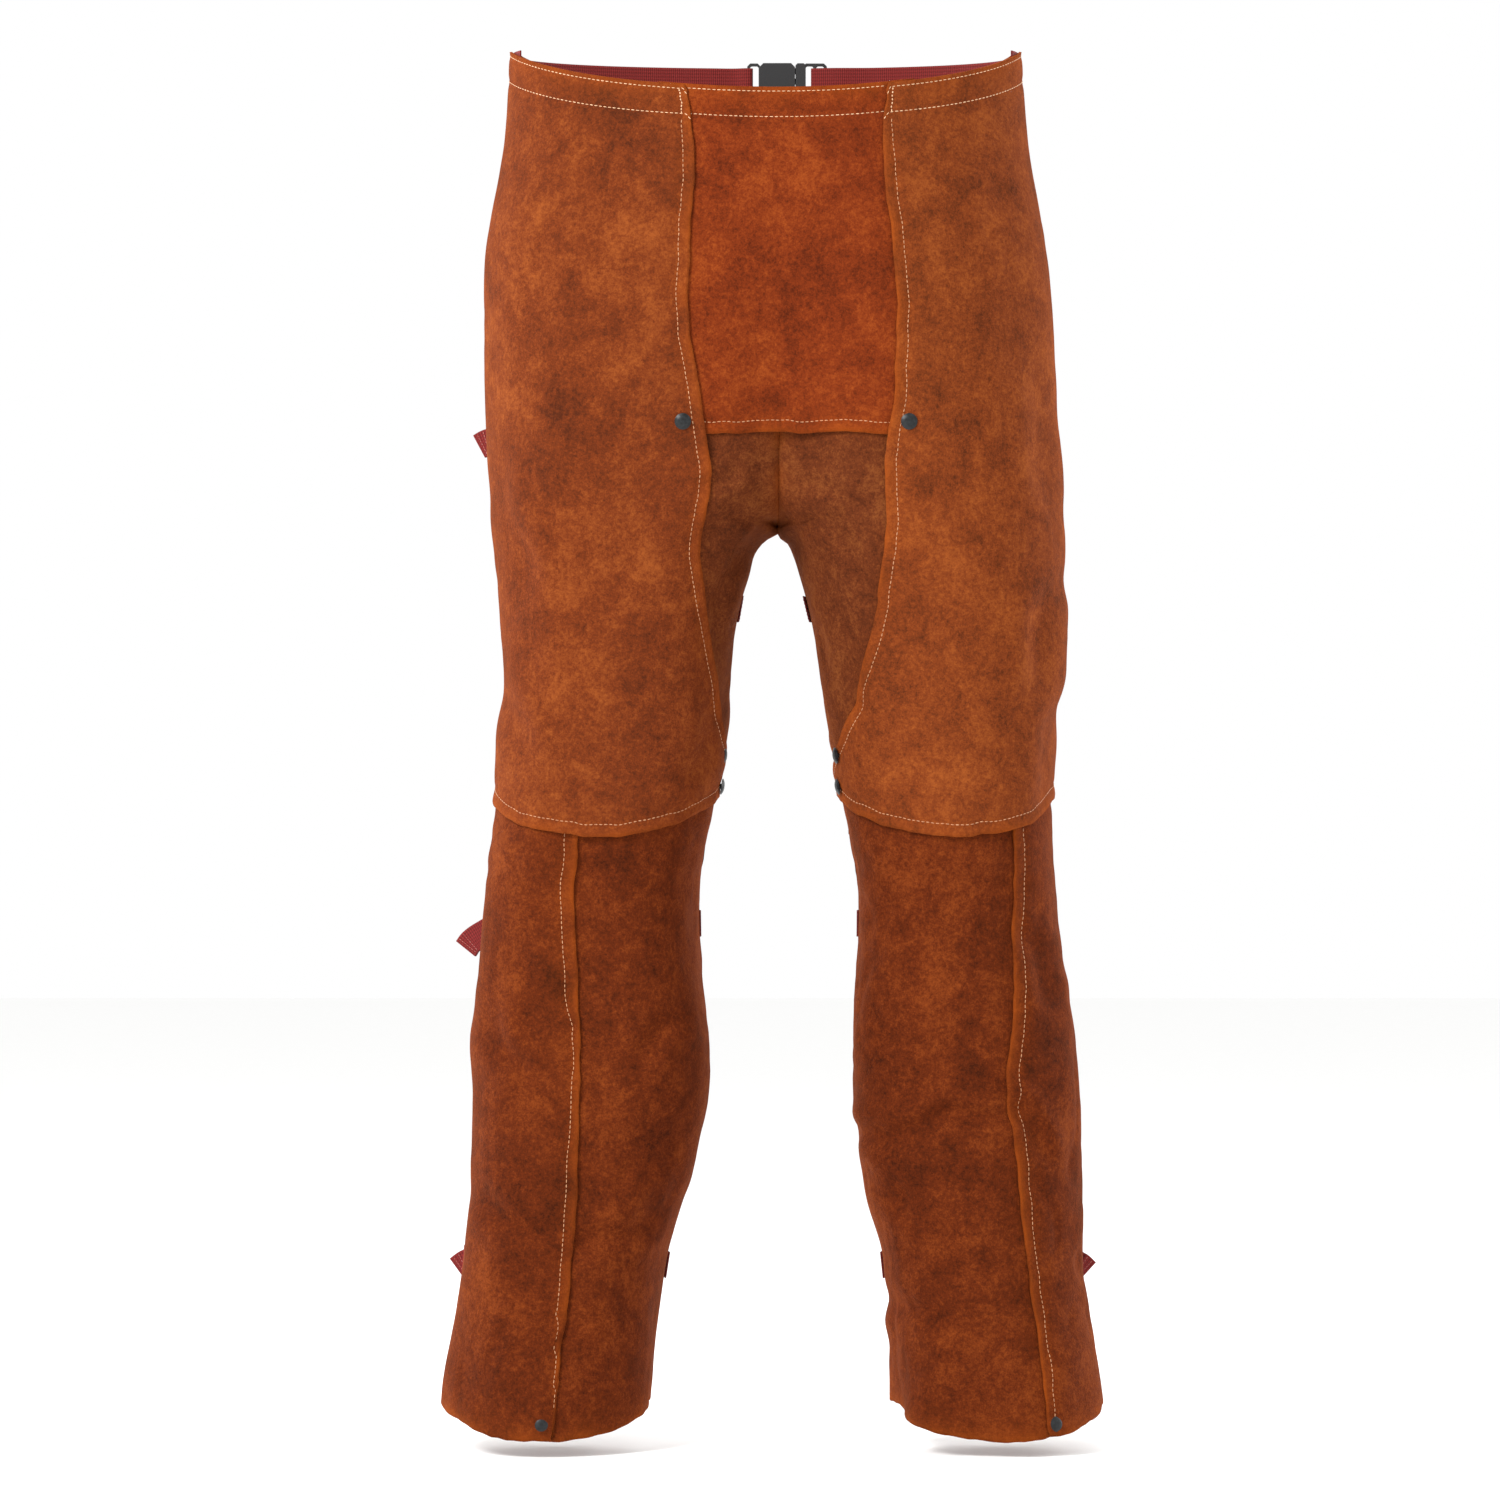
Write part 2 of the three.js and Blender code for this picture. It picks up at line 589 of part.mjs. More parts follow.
// An elastic strap: sewn to the inner edge, round the back of the leg, through its slide, and its tail.
function legStrap(side, height) {
  const { frame, off: outerOff, angle } = anchorage(side, height);
  const [outerDrop, innerDrop] = STRAP_LEVELS[height];
  const innerEdge = height === "thigh" ? FORK_EDGE : SHIN_INNER_EDGE;
  const innerOff = height === "thigh" ? 0 : -PLY;
  const start = through(innerEdge, 1, innerDrop) - spanned(side, SEWN_LENGTH, innerDrop);
  const finish = 360 + angle - 24;
  const lift = STRAP_LIFT + WEBBING / 2;
  const round = spread(17).map((t) => {
    const turn = mix(start, finish, t);
    const drop = mix(innerDrop, outerDrop, ease(t * 1.1 - 0.1));
    const off = mix(innerOff, outerOff, t) + lift;
    return onSkin(side, turn > 180 ? turn - 360 : turn, drop, off, 1 - ease((t - 0.2) / 0.3));
  });
  const path = threaded();
  const local = [...path.loaded, ...path.turn, ...path.out].map(([u, w]) => frame.at(EYE_REACH + u, w));
  const last = EYE_REACH + 2 * BAR_PITCH + past;
  const tail = tailLine(frame, last, ...TAILS[side][height]);
  return ribbon([...round, ...[...local, ...tail].map(level)], { hem: TAIL_HEM });
}

// ---- Waist belt ---------------------------------------------------------------------------
// The side-release buckle lies across the middle of the back; u runs to the wearer's left.
const BELT_OFF = -2 * PLY + BELT_GAP + WEBBING / 2;
const backOfWaist = skin(RIGHT, -180, 0).y + BELT_OFF;
const backFrame = frameOf(
  new THREE.Vector3(0, backOfWaist, 0),
  new THREE.Vector3(1, 0, 0),
  new THREE.Vector3(0, 1, 0),
);
const HOUSING_HALF = RAIL + WIRE;
const MOUTH = HOUSING_LENGTH / 2; // u of the housing's open end
const HOUSING_BAR = -MOUTH - BAR_PITCH; // u of the bar that carries the right-hand belt
const SLIDE_START = MOUTH + 7; // u of the tongue's solid base, where its slide begins

const block = (u0, u1, v0, v1, thick) =>
  moved(
    new THREE.BoxGeometry(u1 - u0, v1 - v0, thick).translate((u0 + u1) / 2, (v0 + v1) / 2, 0),
    backFrame.matrix,
  );

function buckleHousing() {
  const inside = HOUSING_HALF - HOUSING_SIDE;
  const shell = moved(plate(chamfered(-MOUTH, MOUTH, HOUSING_HALF, 3), [], HOUSING_THICK), backFrame.matrix);
  const cavity = block(-MOUTH + 3, MOUTH + 1, -inside, inside, HOUSING_THICK - 2 * HOUSING_WALL);
  const window = block(-5, 5, -HOUSING_HALF - 1, HOUSING_HALF + 1, HOUSING_THICK - 2 * HOUSING_WALL);
  const tail = plate(
    chamfered(HOUSING_BAR - WIRE / 2, -MOUTH + 1, HOUSING_HALF, 2.2),
    [chamfered(HOUSING_BAR + WIRE / 2, -MOUTH - 0.5, RAIL, 1)],
    WIRE,
  );
  return shell.subtract(cavity).subtract(window).add(moved(tail, backFrame.matrix));
}

// Two spring arms and a guide between them on one base, which ends in the slide for the left-hand belt.
function buckleTongue() {
  const inside = HOUSING_HALF - HOUSING_SIDE - PLUG_GAP;
  const thick = HOUSING_THICK - 2 * HOUSING_WALL - 2 * PLUG_GAP;
  const tip = -MOUTH + 3.5;
  const arm = (sign) => {
    const outline = [
      [MOUTH + 1, inside - 5], [MOUTH + 1, inside - 1.2], [6, inside - 1.4], [4.6, inside], [-4, inside],
      [tip, inside - 3.4], [tip, inside - 5.2], [-3, inside - ARM_WIDTH], [5, inside - ARM_WIDTH - 1.4],
    ];
    return plate(outline.map(([u, v]) => new THREE.Vector2(u, sign * v)), [], thick);
  };
  const guide = plate(chamfered(tip, MOUTH + 1, 2.4, 1.2), [], thick);
  const baseEnd = SLIDE_START + WIRE / 2;
  const base = plate(chamfered(MOUTH + PLUG_GAP, baseEnd, HOUSING_HALF, 1.5), [], HOUSING_THICK - 1.6);
  const slide = plate(
    chamfered(SLIDE_START - WIRE / 2, SLIDE_START + 2 * BAR_PITCH + WIRE / 2, HOUSING_HALF, 2.2),
    [0, BAR_PITCH].map((bar) => buckleWindow(bar).map((p) => p.setX(p.x + SLIDE_START))),
    WIRE,
  );
  return [arm(1), arm(-1), guide, base, slide]
    .map((piece) => moved(piece, backFrame.matrix))
    .reduce((a, b) => a.add(b));
}

// Belt runs: from the sewn end inside the waistband, round the hip, to a turn of the given size.
const beltRun = (side, from, to) =>
  spread(19, from, to).map((turn) => offSkin(side, -turn, -TOP_RISE + 2 + BAND_DEPTH / 2 - 3.5, BELT_OFF));

const beltLevel = (line) => line.map((p) => level(p.setZ(mix(p.z, 0, ease((p.y - 40) / 50)))));

function housingBelt() {
  const reach = HOUSING_BAR - EYE_HOLE - 0.6;
  const ends = [backFrame.at(reach - 8, 0), backFrame.at(reach, 0)].map(level);
  return withEye(ribbon([...beltLevel(beltRun(RIGHT, 74, 168)), ...ends]), backFrame, HOUSING_BAR);
}

function tongueBelt() {
  const path = threaded();
  const local = [...path.loaded, ...path.turn, ...path.out].map(([u, w]) => backFrame.at(SLIDE_START + u, w));
  const last = SLIDE_START + 2 * BAR_PITCH + past;
  const tail = [[4, -1.2], [10, -0.4], [24, 0.4], [40, -0.2], [48, -1], [56, -2.2]];
  const lay = tail.map(([u, w]) => backFrame.at(last + u, w + 0.8));
  return ribbon([...beltLevel(beltRun(LEFT, 74, 160)), ...[...local, ...lay].map(level)], { hem: TAIL_HEM });
}

// ---- Rivets -------------------------------------------------------------------------------
// Where each rivet is, how deep its stack of plies is, and how far its outermost ply lies below the skin.
function rivetPlaces() {
  const at = (name, side, angle, drop, off, plies, panels) => {
    return { name, side, angle, drop, off, plies, panels };
  };
  return [RIGHT, LEFT].flatMap((side) => {
    const label = side === RIGHT ? "right" : "left";
    const inboard = (drop) => thighInner(side, drop) - spanned(side, RIVET_EDGE, drop);
    const bib = BIB_DROP - RIVET_EDGE;
    const fork = CROTCH_END - RIVET_EDGE;
    const knee = KNEE_DROP - RIVET_EDGE + 2;
    const foot = FOOT - RIVET_EDGE - 4;
    const kneeAngle = side === RIGHT ? 84 : 74;
    return [
      at(`${label}_bib_rivet`, side, inboard(bib), bib, 0, 3, ["thigh", "centre", "crotch"]),
      at(`${label}_fork_rivet`, side, inboard(fork), fork, 0, 2, ["thigh", "crotch"]),
      at(`${label}_knee_rivet`, side, kneeAngle, knee, 0, 2, ["thigh", "inner_shin"]),
      at(`${label}_ankle_rivet`, side, shinSeam(side, foot) - spanned(side, RIVET_EDGE, foot), foot, -PLY, 2,
        ["outer_shin", "inner_shin"]),
    ];
  });
}

// A lathe about the rivet's axis; heights are measured outwards from the face under the head.
function turned(place, profile, segments) {
  const origin = offSkin(place.side, place.angle, place.drop, place.off);
  const turn = new THREE.Quaternion().setFromUnitVectors(
    new THREE.Vector3(0, 1, 0),
    outwards(place.side, place.angle, place.drop),
  );
  const points = profile.map(([r, h]) => new THREE.Vector2(r, h));
  const matrix = new THREE.Matrix4().compose(origin, turn, new THREE.Vector3(1, 1, 1));
  return moved(new THREE.LatheGeometry(points, segments), matrix);
}

const stackDepth = (place) => place.plies * PLY - PLY_GAP + SEAT_GAP;

function rivet(place) {
  const head = RIVET_HEAD / 2;
  const shank = RIVET_SHANK / 2;
  const burrBottom = -stackDepth(place) - BURR_THICK - SEAT_GAP;
  return turned(
    place,
    [
      [0, burrBottom - 1.1], [shank * 0.9, burrBottom - 1.1], [shank * 1.5, burrBottom - 0.5],
      [shank * 1.5, burrBottom], [shank, burrBottom], [shank, SEAT_GAP], [head - 0.3, SEAT_GAP],
      [head, SEAT_GAP + 0.5], [head * 0.72, SEAT_GAP + RIVET_DOME * 0.8], [0, SEAT_GAP + RIVET_DOME],
    ],
    12,
  );
}

function burr(place) {
  const hole = RIVET_SHANK / 2 + SEAT_GAP;
  const top = -stackDepth(place);
  return turned(
    place,
    [
      [hole, top - BURR_THICK], [BURR / 2, top - BURR_THICK], [BURR / 2, top], [hole, top],
      [hole, top - BURR_THICK],
    ],
    12,
  );
}

// The hide is punched for the shank, and pressed flat under the head and under the burr.
function punched(body, places) {
  const hole = RIVET_SHANK / 2 + SEAT_GAP;
  const head = RIVET_HEAD / 2 + SEAT_GAP;
  const foot = BURR / 2 + SEAT_GAP;
  const reach = 6;
  return places.reduce((left, place) => {
    const under = SEAT_GAP - stackDepth(place);
    const profile = [
      [0, under - reach], [foot, under - reach], [foot, under], [hole, under],
      [hole, 0], [head, 0], [head, reach], [0, reach],
    ];
    return left.subtract(turned(place, profile, 12));
  }, body);
}

// ---- Assembly -----------------------------------------------------------------------------
const finish = (color, roughness, metalness) =>
  new THREE.MeshStandardMaterial({ color, roughness, metalness });
const HIDE = finish("#9a4726", 0.92, 0);
const WEB = finish("#a33a33", 0.85, 0);
const GUNMETAL = finish("#3b3a36", 0.42, 0.9);
const BLACKED = finish("#20211f", 0.38, 0.8);
const STEEL = finish("#8e8f90", 0.4, 0.9);
const MOULDED = finish("#1b1b1c", 0.55, 0);

const apron = new THREE.Group();
function add(name, body, material) {
  const mesh = new THREE.Mesh(geometryOf(body), material);
  mesh.name = name;
  apron.add(mesh);
}

const rivets = rivetPlaces();
const punchedFor = (body, side, panelName) =>
  punched(body, rivets.filter((r) => (side === null || r.side === side) && r.panels.includes(panelName)));

add("centre_panel", punchedFor(centrePanel(), null, "centre"), HIDE);
add("waistband_facing", waistFacing(), HIDE);
for (const [label, side] of [["right", RIGHT], ["left", LEFT]]) {
  add(`${label}_thigh_panel`, punchedFor(thighPanel(side), side, "thigh"), HIDE);
  add(`${label}_crotch_panel`, punchedFor(crotchPanel(side), side, "crotch"), HIDE);
  add(`${label}_outer_shin_panel`, punchedFor(outerShinPanel(side), side, "outer_shin"), HIDE);
  add(`${label}_inner_shin_panel`, punchedFor(innerShinPanel(side), side, "inner_shin"), HIDE);
  for (const height of Object.keys(STRAP_LEVELS)) {
    add(`${label}_${height}_strap`, legStrap(side, height), WEB);
    add(`${label}_${height}_strap_tab`, strapTab(side, height), WEB);
    add(`${label}_${height}_buckle`, slideBuckle(side, height), GUNMETAL);
  }
}
add("right_waist_belt", housingBelt(), WEB);
add("left_waist_belt", tongueBelt(), WEB);
add("waist_buckle_housing", buckleHousing(), MOULDED);
add("waist_buckle_tongue", buckleTongue(), MOULDED);
for (const place of rivets) {
  add(place.name, rivet(place), BLACKED);
  add(place.name.replace("rivet", "burr"), burr(place), STEEL);
}

export default apron;
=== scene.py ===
"""Looks of an open-back welding apron with split legs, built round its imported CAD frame.

Metres, +Z up, front towards -Y, wearer's right towards -X.
"""

import json
import math
from itertools import permutations

import bmesh
import bpy
import numpy as np
from mathutils import Matrix, Vector, noise
from mathutils.bvhtree import BVHTree
from mathutils.kdtree import KDTree


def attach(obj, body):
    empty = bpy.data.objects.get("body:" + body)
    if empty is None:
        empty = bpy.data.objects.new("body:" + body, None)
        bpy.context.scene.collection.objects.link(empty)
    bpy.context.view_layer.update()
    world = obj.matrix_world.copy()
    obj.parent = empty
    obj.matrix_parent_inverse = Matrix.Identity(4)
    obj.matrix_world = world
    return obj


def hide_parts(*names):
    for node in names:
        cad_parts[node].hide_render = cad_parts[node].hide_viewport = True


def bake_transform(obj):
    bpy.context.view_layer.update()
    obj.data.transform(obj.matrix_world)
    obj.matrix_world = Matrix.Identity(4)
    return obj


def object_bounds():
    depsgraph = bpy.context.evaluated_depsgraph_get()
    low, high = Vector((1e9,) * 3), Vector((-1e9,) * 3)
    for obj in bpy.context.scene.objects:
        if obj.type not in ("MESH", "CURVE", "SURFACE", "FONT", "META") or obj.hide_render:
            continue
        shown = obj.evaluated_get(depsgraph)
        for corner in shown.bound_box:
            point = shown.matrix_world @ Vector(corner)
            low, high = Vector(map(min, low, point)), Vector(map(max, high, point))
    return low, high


bl_info = {
    "name": "Split-leg welding apron",
    "version": (1, 0, 0),
    "blender": (4, 5, 0),
    "location": "View3D > Sidebar > Apron",
    "description": "Makes the hide, stitching, webbing and hardware of a split-leg welding apron",
    "category": "Object",
}

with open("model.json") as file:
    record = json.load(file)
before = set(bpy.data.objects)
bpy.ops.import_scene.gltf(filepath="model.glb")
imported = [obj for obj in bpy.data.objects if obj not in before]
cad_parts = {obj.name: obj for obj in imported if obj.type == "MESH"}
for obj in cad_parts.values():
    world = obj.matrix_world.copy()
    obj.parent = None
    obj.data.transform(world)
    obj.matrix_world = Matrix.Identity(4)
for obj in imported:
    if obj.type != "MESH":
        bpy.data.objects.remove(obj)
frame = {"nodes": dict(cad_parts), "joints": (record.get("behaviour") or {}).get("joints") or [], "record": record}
CAD_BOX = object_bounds()
MM = 0.001
SIDES = {"right": -1, "left": 1}
HEIGHTS = ("thigh", "knee", "ankle")
RIVETS = ("bib", "fork", "knee", "ankle")
HINGES = {j["child"]: Vector(j["pos_m"]) for j in frame["joints"] if "pos_m" in j}
OPENINGS = {
    o["name"]: np.array(o["box_m"]).mean(axis=0) for o in frame["record"]["physics"]["openings"]
}
SHEETS = {}  # every laid-out hide by its node's name, for the stitching


# ---- Small tools ---------------------------------------------------------------------------
def linear(colour):
    """An sRGB hex colour as linear red, green, blue; a colour that is linear already stays as it is."""
    if not isinstance(colour, str):
        return list(colour)
    parts = [int(colour[i : i + 2], 16) / 255 for i in (1, 3, 5)]
    return [c / 12.92 if c <= 0.04045 else ((c + 0.055) / 1.055) ** 2.4 for c in parts]


def length_setting(name, description, default, **limits):
    """A length that a user would change."""
    return bpy.props.FloatProperty(
        name=name, description=description, default=default, unit="LENGTH", **limits
    )


def colour_setting(name, description, default):
    """A colour that a user would change."""
    return bpy.props.FloatVectorProperty(
        name=name, description=description, subtype="COLOR", default=linear(default), size=3
    )


def ease(t):
    t = np.clip(t, 0, 1)
    return t * t * (3 - 2 * t)


def unit(vectors):
    return vectors / np.linalg.norm(vectors, axis=-1, keepdims=True)


def travelled(points):
    """How far along a line of points each of them is."""
    return np.pad(np.cumsum(np.linalg.norm(np.diff(points, axis=0), axis=1)), (1, 0))


def nearest(values, value):
    return int(np.argmin(np.abs(values - value)))


def corners_of(node):
    return np.array([v.co for v in frame["nodes"][node].data.vertices])


def merged(node):
    """A bmesh copy of a CAD node with its loose triangles joined."""
    bm = bmesh.new()
    bm.from_mesh(frame["nodes"][node].data)
    bmesh.ops.remove_doubles(bm, verts=bm.verts, dist=2e-6)
    bm.verts.index_update()
    return bm


def piece(name, bm, material, body, replaces=(), smooth=True):
    """Makes an object of a finished bmesh, and puts it on its CAD body."""
    mesh = bpy.data.meshes.new(name)
    bm.to_mesh(mesh)
    bm.free()
    for polygon in mesh.polygons:
        polygon.use_smooth = smooth
    obj = bpy.data.objects.new(name, mesh)
    bpy.context.scene.collection.objects.link(obj)
    mesh.materials.append(material)
    if body:
        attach(obj, body)
    if replaces:
        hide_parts(*replaces)
    return obj


def finished(node, material, bevel):
    """Gives a CAD node a material, joins its triangles and rounds its sharp edges, leaving its mesh alone."""
    node.data.materials.clear()
    node.data.materials.append(material)
    weld = node.modifiers.new("joined", "WELD")
    weld.merge_threshold = 2e-6
    rounded = node.modifiers.new("rounded", "BEVEL")
    rounded.width, rounded.segments, rounded.limit_method = bevel, 2, "ANGLE"
    rounded.angle_limit = math.radians(35)
    rounded.harden_normals = False


# ---- Materials -----------------------------------------------------------------------------
def add_node(tree, kind, links=(), stops=(), **settings):
    """Adds one shader node. links feed its inputs, settings name its properties or, as in_NAME or
    in_NUMBER, its inputs, and stops are a colour ramp's (position, colour) pairs."""
    made = tree.nodes.new(kind)
    for key, value in settings.items():
        if key.startswith("in_"):
            socket = key[3:].replace("_", " ")
            made.inputs[int(socket) if socket.isdigit() else socket].default_value = value
        else:
            setattr(made, key, value)
    for k, (at, colour) in enumerate(stops):
        elements = made.color_ramp.elements
        while len(elements) < len(stops):
            elements.new(0.5)
        elements[k].position = at
        elements[k].color = (*linear(colour), 1)
    for socket, source in links:
        tree.links.new(source, made.inputs[socket])
    return made


def new_material(name, **settings):
    """A material with its Principled shader, whose sockets are set by name."""
    material = bpy.data.materials.get(name) or bpy.data.materials.new(name)
    material.use_nodes = True
    tree = material.node_tree
    shader = tree.nodes["Principled BSDF"]
    for key, value in settings.items():
        shader.inputs[key.replace("_", " ")].default_value = value
    return material, tree, shader


def clothed(tree, shader, shade, stops, strength=0, depth=0):
    """Colours a shader by a ramp over a pattern's shade and, where it has a depth, raises the pattern."""
    colour = add_node(tree, "ShaderNodeValToRGB", [("Fac", shade)], stops)
    tree.links.new(colour.outputs["Color"], shader.inputs["Base Color"])
    if depth:
        bump = add_node(
            tree, "ShaderNodeBump", [("Height", shade)], in_Strength=strength, in_Distance=depth
        )
        tree.links.new(bump.outputs["Normal"], shader.inputs["Normal"])


def mottled(name, scale, detail, stops, strength=0, depth=0, gloss=None, **settings):
    """A material whose shade, and between two values its roughness, varies a little over the piece."""
    material, tree, shader = new_material(name, **settings)
    place = add_node(tree, "ShaderNodeTexCoord").outputs["Object"]
    spots = add_node(
        tree, "ShaderNodeTexNoise", [("Vector", place)], in_Scale=scale, in_Detail=detail
    ).outputs["Fac"]
    clothed(tree, shader, spots, stops, strength, depth)
    if gloss:
        rubbed = add_node(
            tree, "ShaderNodeMapRange", [("Value", spots)], in_To_Min=gloss[0], in_To_Max=gloss[1]
        )
        tree.links.new(rubbed.outputs[0], shader.inputs["Roughness"])
    return material


# The layers of a suede's shade: scale, detail, roughness, distortion and weight of each.
SUEDE_LAYERS = (
    (14.0, 4.0, 0.62, 0.25, 0.85),  # dye clouds of 60 to 90 mm
    (58.0, 5.0, 0.72, 0.5, 1.0),  # brushed patches of 15 to 20 mm
    (330.0, 3.0, 0.78, 0.0, 1.0),  # flecks of 3 mm
    (850.0, 2.0, 0.7, 0.0, 0.6),  # the nap, drawn at 1.2 mm so that it shows
)
SUEDE_SHADE = (1.725 - 0.44, 1.725 + 0.44)  # darkest and palest sum of the layers, about half their weights


def split_suede(name, dark, body, light):
    """Split cowhide, drum-dyed rust and brushed: no grain side, so both faces are a short matt nap. It
    scatters light back at grazing angles, as a faint pale rim, and takes the dye in cloudy patches."""
    material, tree, shader = new_material(
        name,
        Roughness=0.92,
        Sheen_Weight=0.2,
        Sheen_Roughness=0.36,
        Sheen_Tint=(*linear("#F07A30"), 1),
        Specular_IOR_Level=0.06,
    )
    place = add_node(tree, "ShaderNodeTexCoord").outputs["Object"]
    total, grains = None, []
    for scale, detail, rough, distortion, weight in SUEDE_LAYERS:
        layer = add_node(
            tree,
            "ShaderNodeTexNoise",
            [("Vector", place)],
            in_Scale=scale,
            in_Detail=detail,
            in_Roughness=rough,
            in_Distortion=distortion,
        ).outputs["Fac"]
        grains.append(layer)
        links = [(0, layer)] + ([(2, total)] if total else [])
        total = add_node(
            tree, "ShaderNodeMath", links, operation="MULTIPLY_ADD", in_1=weight, in_2=0.0
        ).outputs[0]
    shade = add_node(
        tree,
        "ShaderNodeMapRange",
        [("Value", total)],
        in_From_Min=SUEDE_SHADE[0],
        in_From_Max=SUEDE_SHADE[1],
    )
    colour = add_node(
        tree,
        "ShaderNodeValToRGB",
        [("Fac", shade.outputs[0])],
        [(0.06, dark), (0.5, body), (0.94, light)],
    )
    # towards each panel's edges the colour turns to a paler rust, in patches: partly rubbed wear, partly a painted
    # highlight where light catches the edges
    edge = add_node(tree, "ShaderNodeAttribute", attribute_name="worn")
    worn = add_node(
        tree,
        "ShaderNodeMix",
        [("Factor", edge.outputs["Fac"]), (6, colour.outputs["Color"])],
        data_type="RGBA",
        in_7=(*linear("#92430F"), 1),
    )
    height = add_node(tree, "ShaderNodeMath", enumerate(grains[2:]), operation="ADD")
    bump = add_node(
        tree,
        "ShaderNodeBump",
        [("Height", height.outputs[0])],
        in_Strength=0.7,
        in_Distance=0.8 * MM,
    )
    tree.links.new(worn.outputs[2], shader.inputs["Base Color"])
    tree.links.new(bump.outputs[0], shader.inputs["Normal"])
    return material


def bands(spacing):
    """The scale at which a wave texture's bands are this far apart."""
    return math.tau / (20 * spacing)


def webbing_material(name, dark, light):
    """Woven elastic webbing: rubber cores covered in polyester, with a fine rib across it every 1.2 mm,
    drawn at 1.6 mm so that it shows, and a faint row along it every 2.5 mm. Its UV map is in metres."""
    material, tree, shader = new_material(
        name, Roughness=0.8, Sheen_Weight=0.08, Sheen_Roughness=0.4, Specular_IOR_Level=0.25
    )
    uv = add_node(tree, "ShaderNodeUVMap", uv_map="cloth").outputs["UV"]
    ribs = add_node(
        tree,
        "ShaderNodeTexWave",
        [("Vector", uv)],
        bands_direction="Y",
        in_Scale=bands(1.6 * MM),
        in_Distortion=0.6,
        in_Detail=1.0,
    )
    rows = add_node(
        tree,
        "ShaderNodeTexWave",
        [("Vector", uv)],
        bands_direction="X",
        in_Scale=bands(2.5 * MM),
    )
    weave = add_node(
        tree,
        "ShaderNodeMath",
        [(0, rows.outputs["Fac"]), (2, ribs.outputs["Fac"])],
        operation="MULTIPLY_ADD",
        in_1=0.5,
    ).outputs[0]
    shade = add_node(tree, "ShaderNodeMapRange", [("Value", weave)], in_From_Max=1.5)
    bump = add_node(
        tree, "ShaderNodeBump", [("Height", weave)], in_Strength=0.6, in_Distance=0.4 * MM
    )
    clothed(tree, shader, shade.outputs[0], [(0.0, dark), (1.0, light)])
    tree.links.new(bump.outputs[0], shader.inputs["Normal"])
    return material


def tab_webbing_material():
    """The same woven webbing as a short sewn tab, whose ribs run up it and are drawn every 2.2 mm."""
    material, tree, shader = new_material(
        "woven_tab_webbing", Roughness=0.8, Sheen_Weight=0.08, Specular_IOR_Level=0.25
    )
    place = add_node(tree, "ShaderNodeTexCoord").outputs["Object"]
    ribs = add_node(
        tree,
        "ShaderNodeTexWave",
        [("Vector", place)],
        bands_direction="Y",
        in_Scale=bands(2.2 * MM),
        in_Distortion=0.4,
    ).outputs["Fac"]
    clothed(tree, shader, ribs, [(0.0, "#4E100F"), (1.0, "#842622")], 0.5, 0.3 * MM)
    return material


def thread_material(name, dark, light):
    """Twisted heavy sewing thread, waxed: its two plies show as a slight change of shade every 1.5 mm."""
    return mottled(
        name,
        650.0,
        1.0,
        [(0.3, dark), (0.7, light)],
        Roughness=0.6,
        Sheen_Weight=0.15,
        Specular_IOR_Level=0.35,
    )


def metal(name, dark, light, roughness, scale):
    """A metal whose finish varies a little over it, as handled plating does."""
    gloss = (roughness - 0.15 / 2, roughness + 0.15)
    stops = [(0.35, dark), (0.7, light)]
    return mottled(name, scale, 4.0, stops, 0.12, 0.2 * MM, gloss, Metallic=1.0)


def black_lacquer():
    """Steel rivet caps stove-lacquered black: semi-gloss and faintly uneven."""
    return mottled(
        "stoved_black_lacquer",
        420.0,
        3.0,
        [(0.35, "#0E0F10"), (0.72, "#202325")],
        gloss=(0.3, 0.55),
        IOR=1.45,
        Specular_IOR_Level=0.3,
        Coat_Weight=0.08,
        Coat_Roughness=0.3,
    )


def moulded_acetal():
    """Injection-moulded acetal: even black with a fine spark-eroded texture of about 0.4 mm."""
    stops = [(0.3, "#141415"), (0.75, "#222324")]
    return mottled("moulded_acetal", 2400.0, 2.0, stops, 0.25, 0.1 * MM, Roughness=0.5, IOR=1.48)


# ---- Laying out the hide -------------------------------------------------------------------
def leg_middle(side, z):
    """Middle of a leg at height z, as x and y; side 0 is the middle of the waist."""
    if not side:
        return np.zeros_like(z), np.zeros_like(z)
    word = "right" if side < 0 else "left"
    stops = [(0.03, 0.07 * side, 0.0), (-0.28, 0.105 * side, 0.01)]
    stops += [OPENINGS[f"{word}_{part}"][[2, 0, 1]] for part in ("thigh", "upper_shin", "lower_shin")]
    drops = [-s[0] for s in stops]
    return np.interp(-z, drops, [s[1] for s in stops]), np.interp(-z, drops, [s[2] for s in stops])


def crossed(a, b, edges, level):
    """Where the edges cross a == level: the lowest and highest b there."""
    a0, a1 = a[edges[:, 0]] - level, a[edges[:, 1]] - level
    hit = (a0 * a1 <= 0) & (np.abs(a1 - a0) > 1e-9)
    t = a0[hit] / (a0[hit] - a1[hit])
    found = b[edges[hit, 0]] * (1 - t) + b[edges[hit, 1]] * t
    return (found.min(), found.max()) if len(found) else (np.nan, np.nan)


def smoothed(grid, rounds):
    """Averages a grid of values with its neighbours, holding its border's slope."""
    for _ in range(rounds):
        for axis in (0, 1):
            g = np.moveaxis(grid, axis, 0)
            g[1:-1] = g[1:-1] / 2 + (g[:-2] + g[2:]) / 4
    return grid


SAMPLES = 90  # places along a CAD panel's edges at which they are read
EDGE_TURN = 0.004  # how far inside the side edges, in radians, the top and the bottom are read
GIRTH_RADIUS = 0.12  # turns an angle round a leg into columns of about the grid's pitch
FAR_OUT = 0.5  # how far from a leg's middle the rays towards its hide start
PUNCHED = 0.9 * MM  # a dent deeper than this is a punched hole
STRAY_BAND = 12  # edges stray within this fraction of a panel's width and length


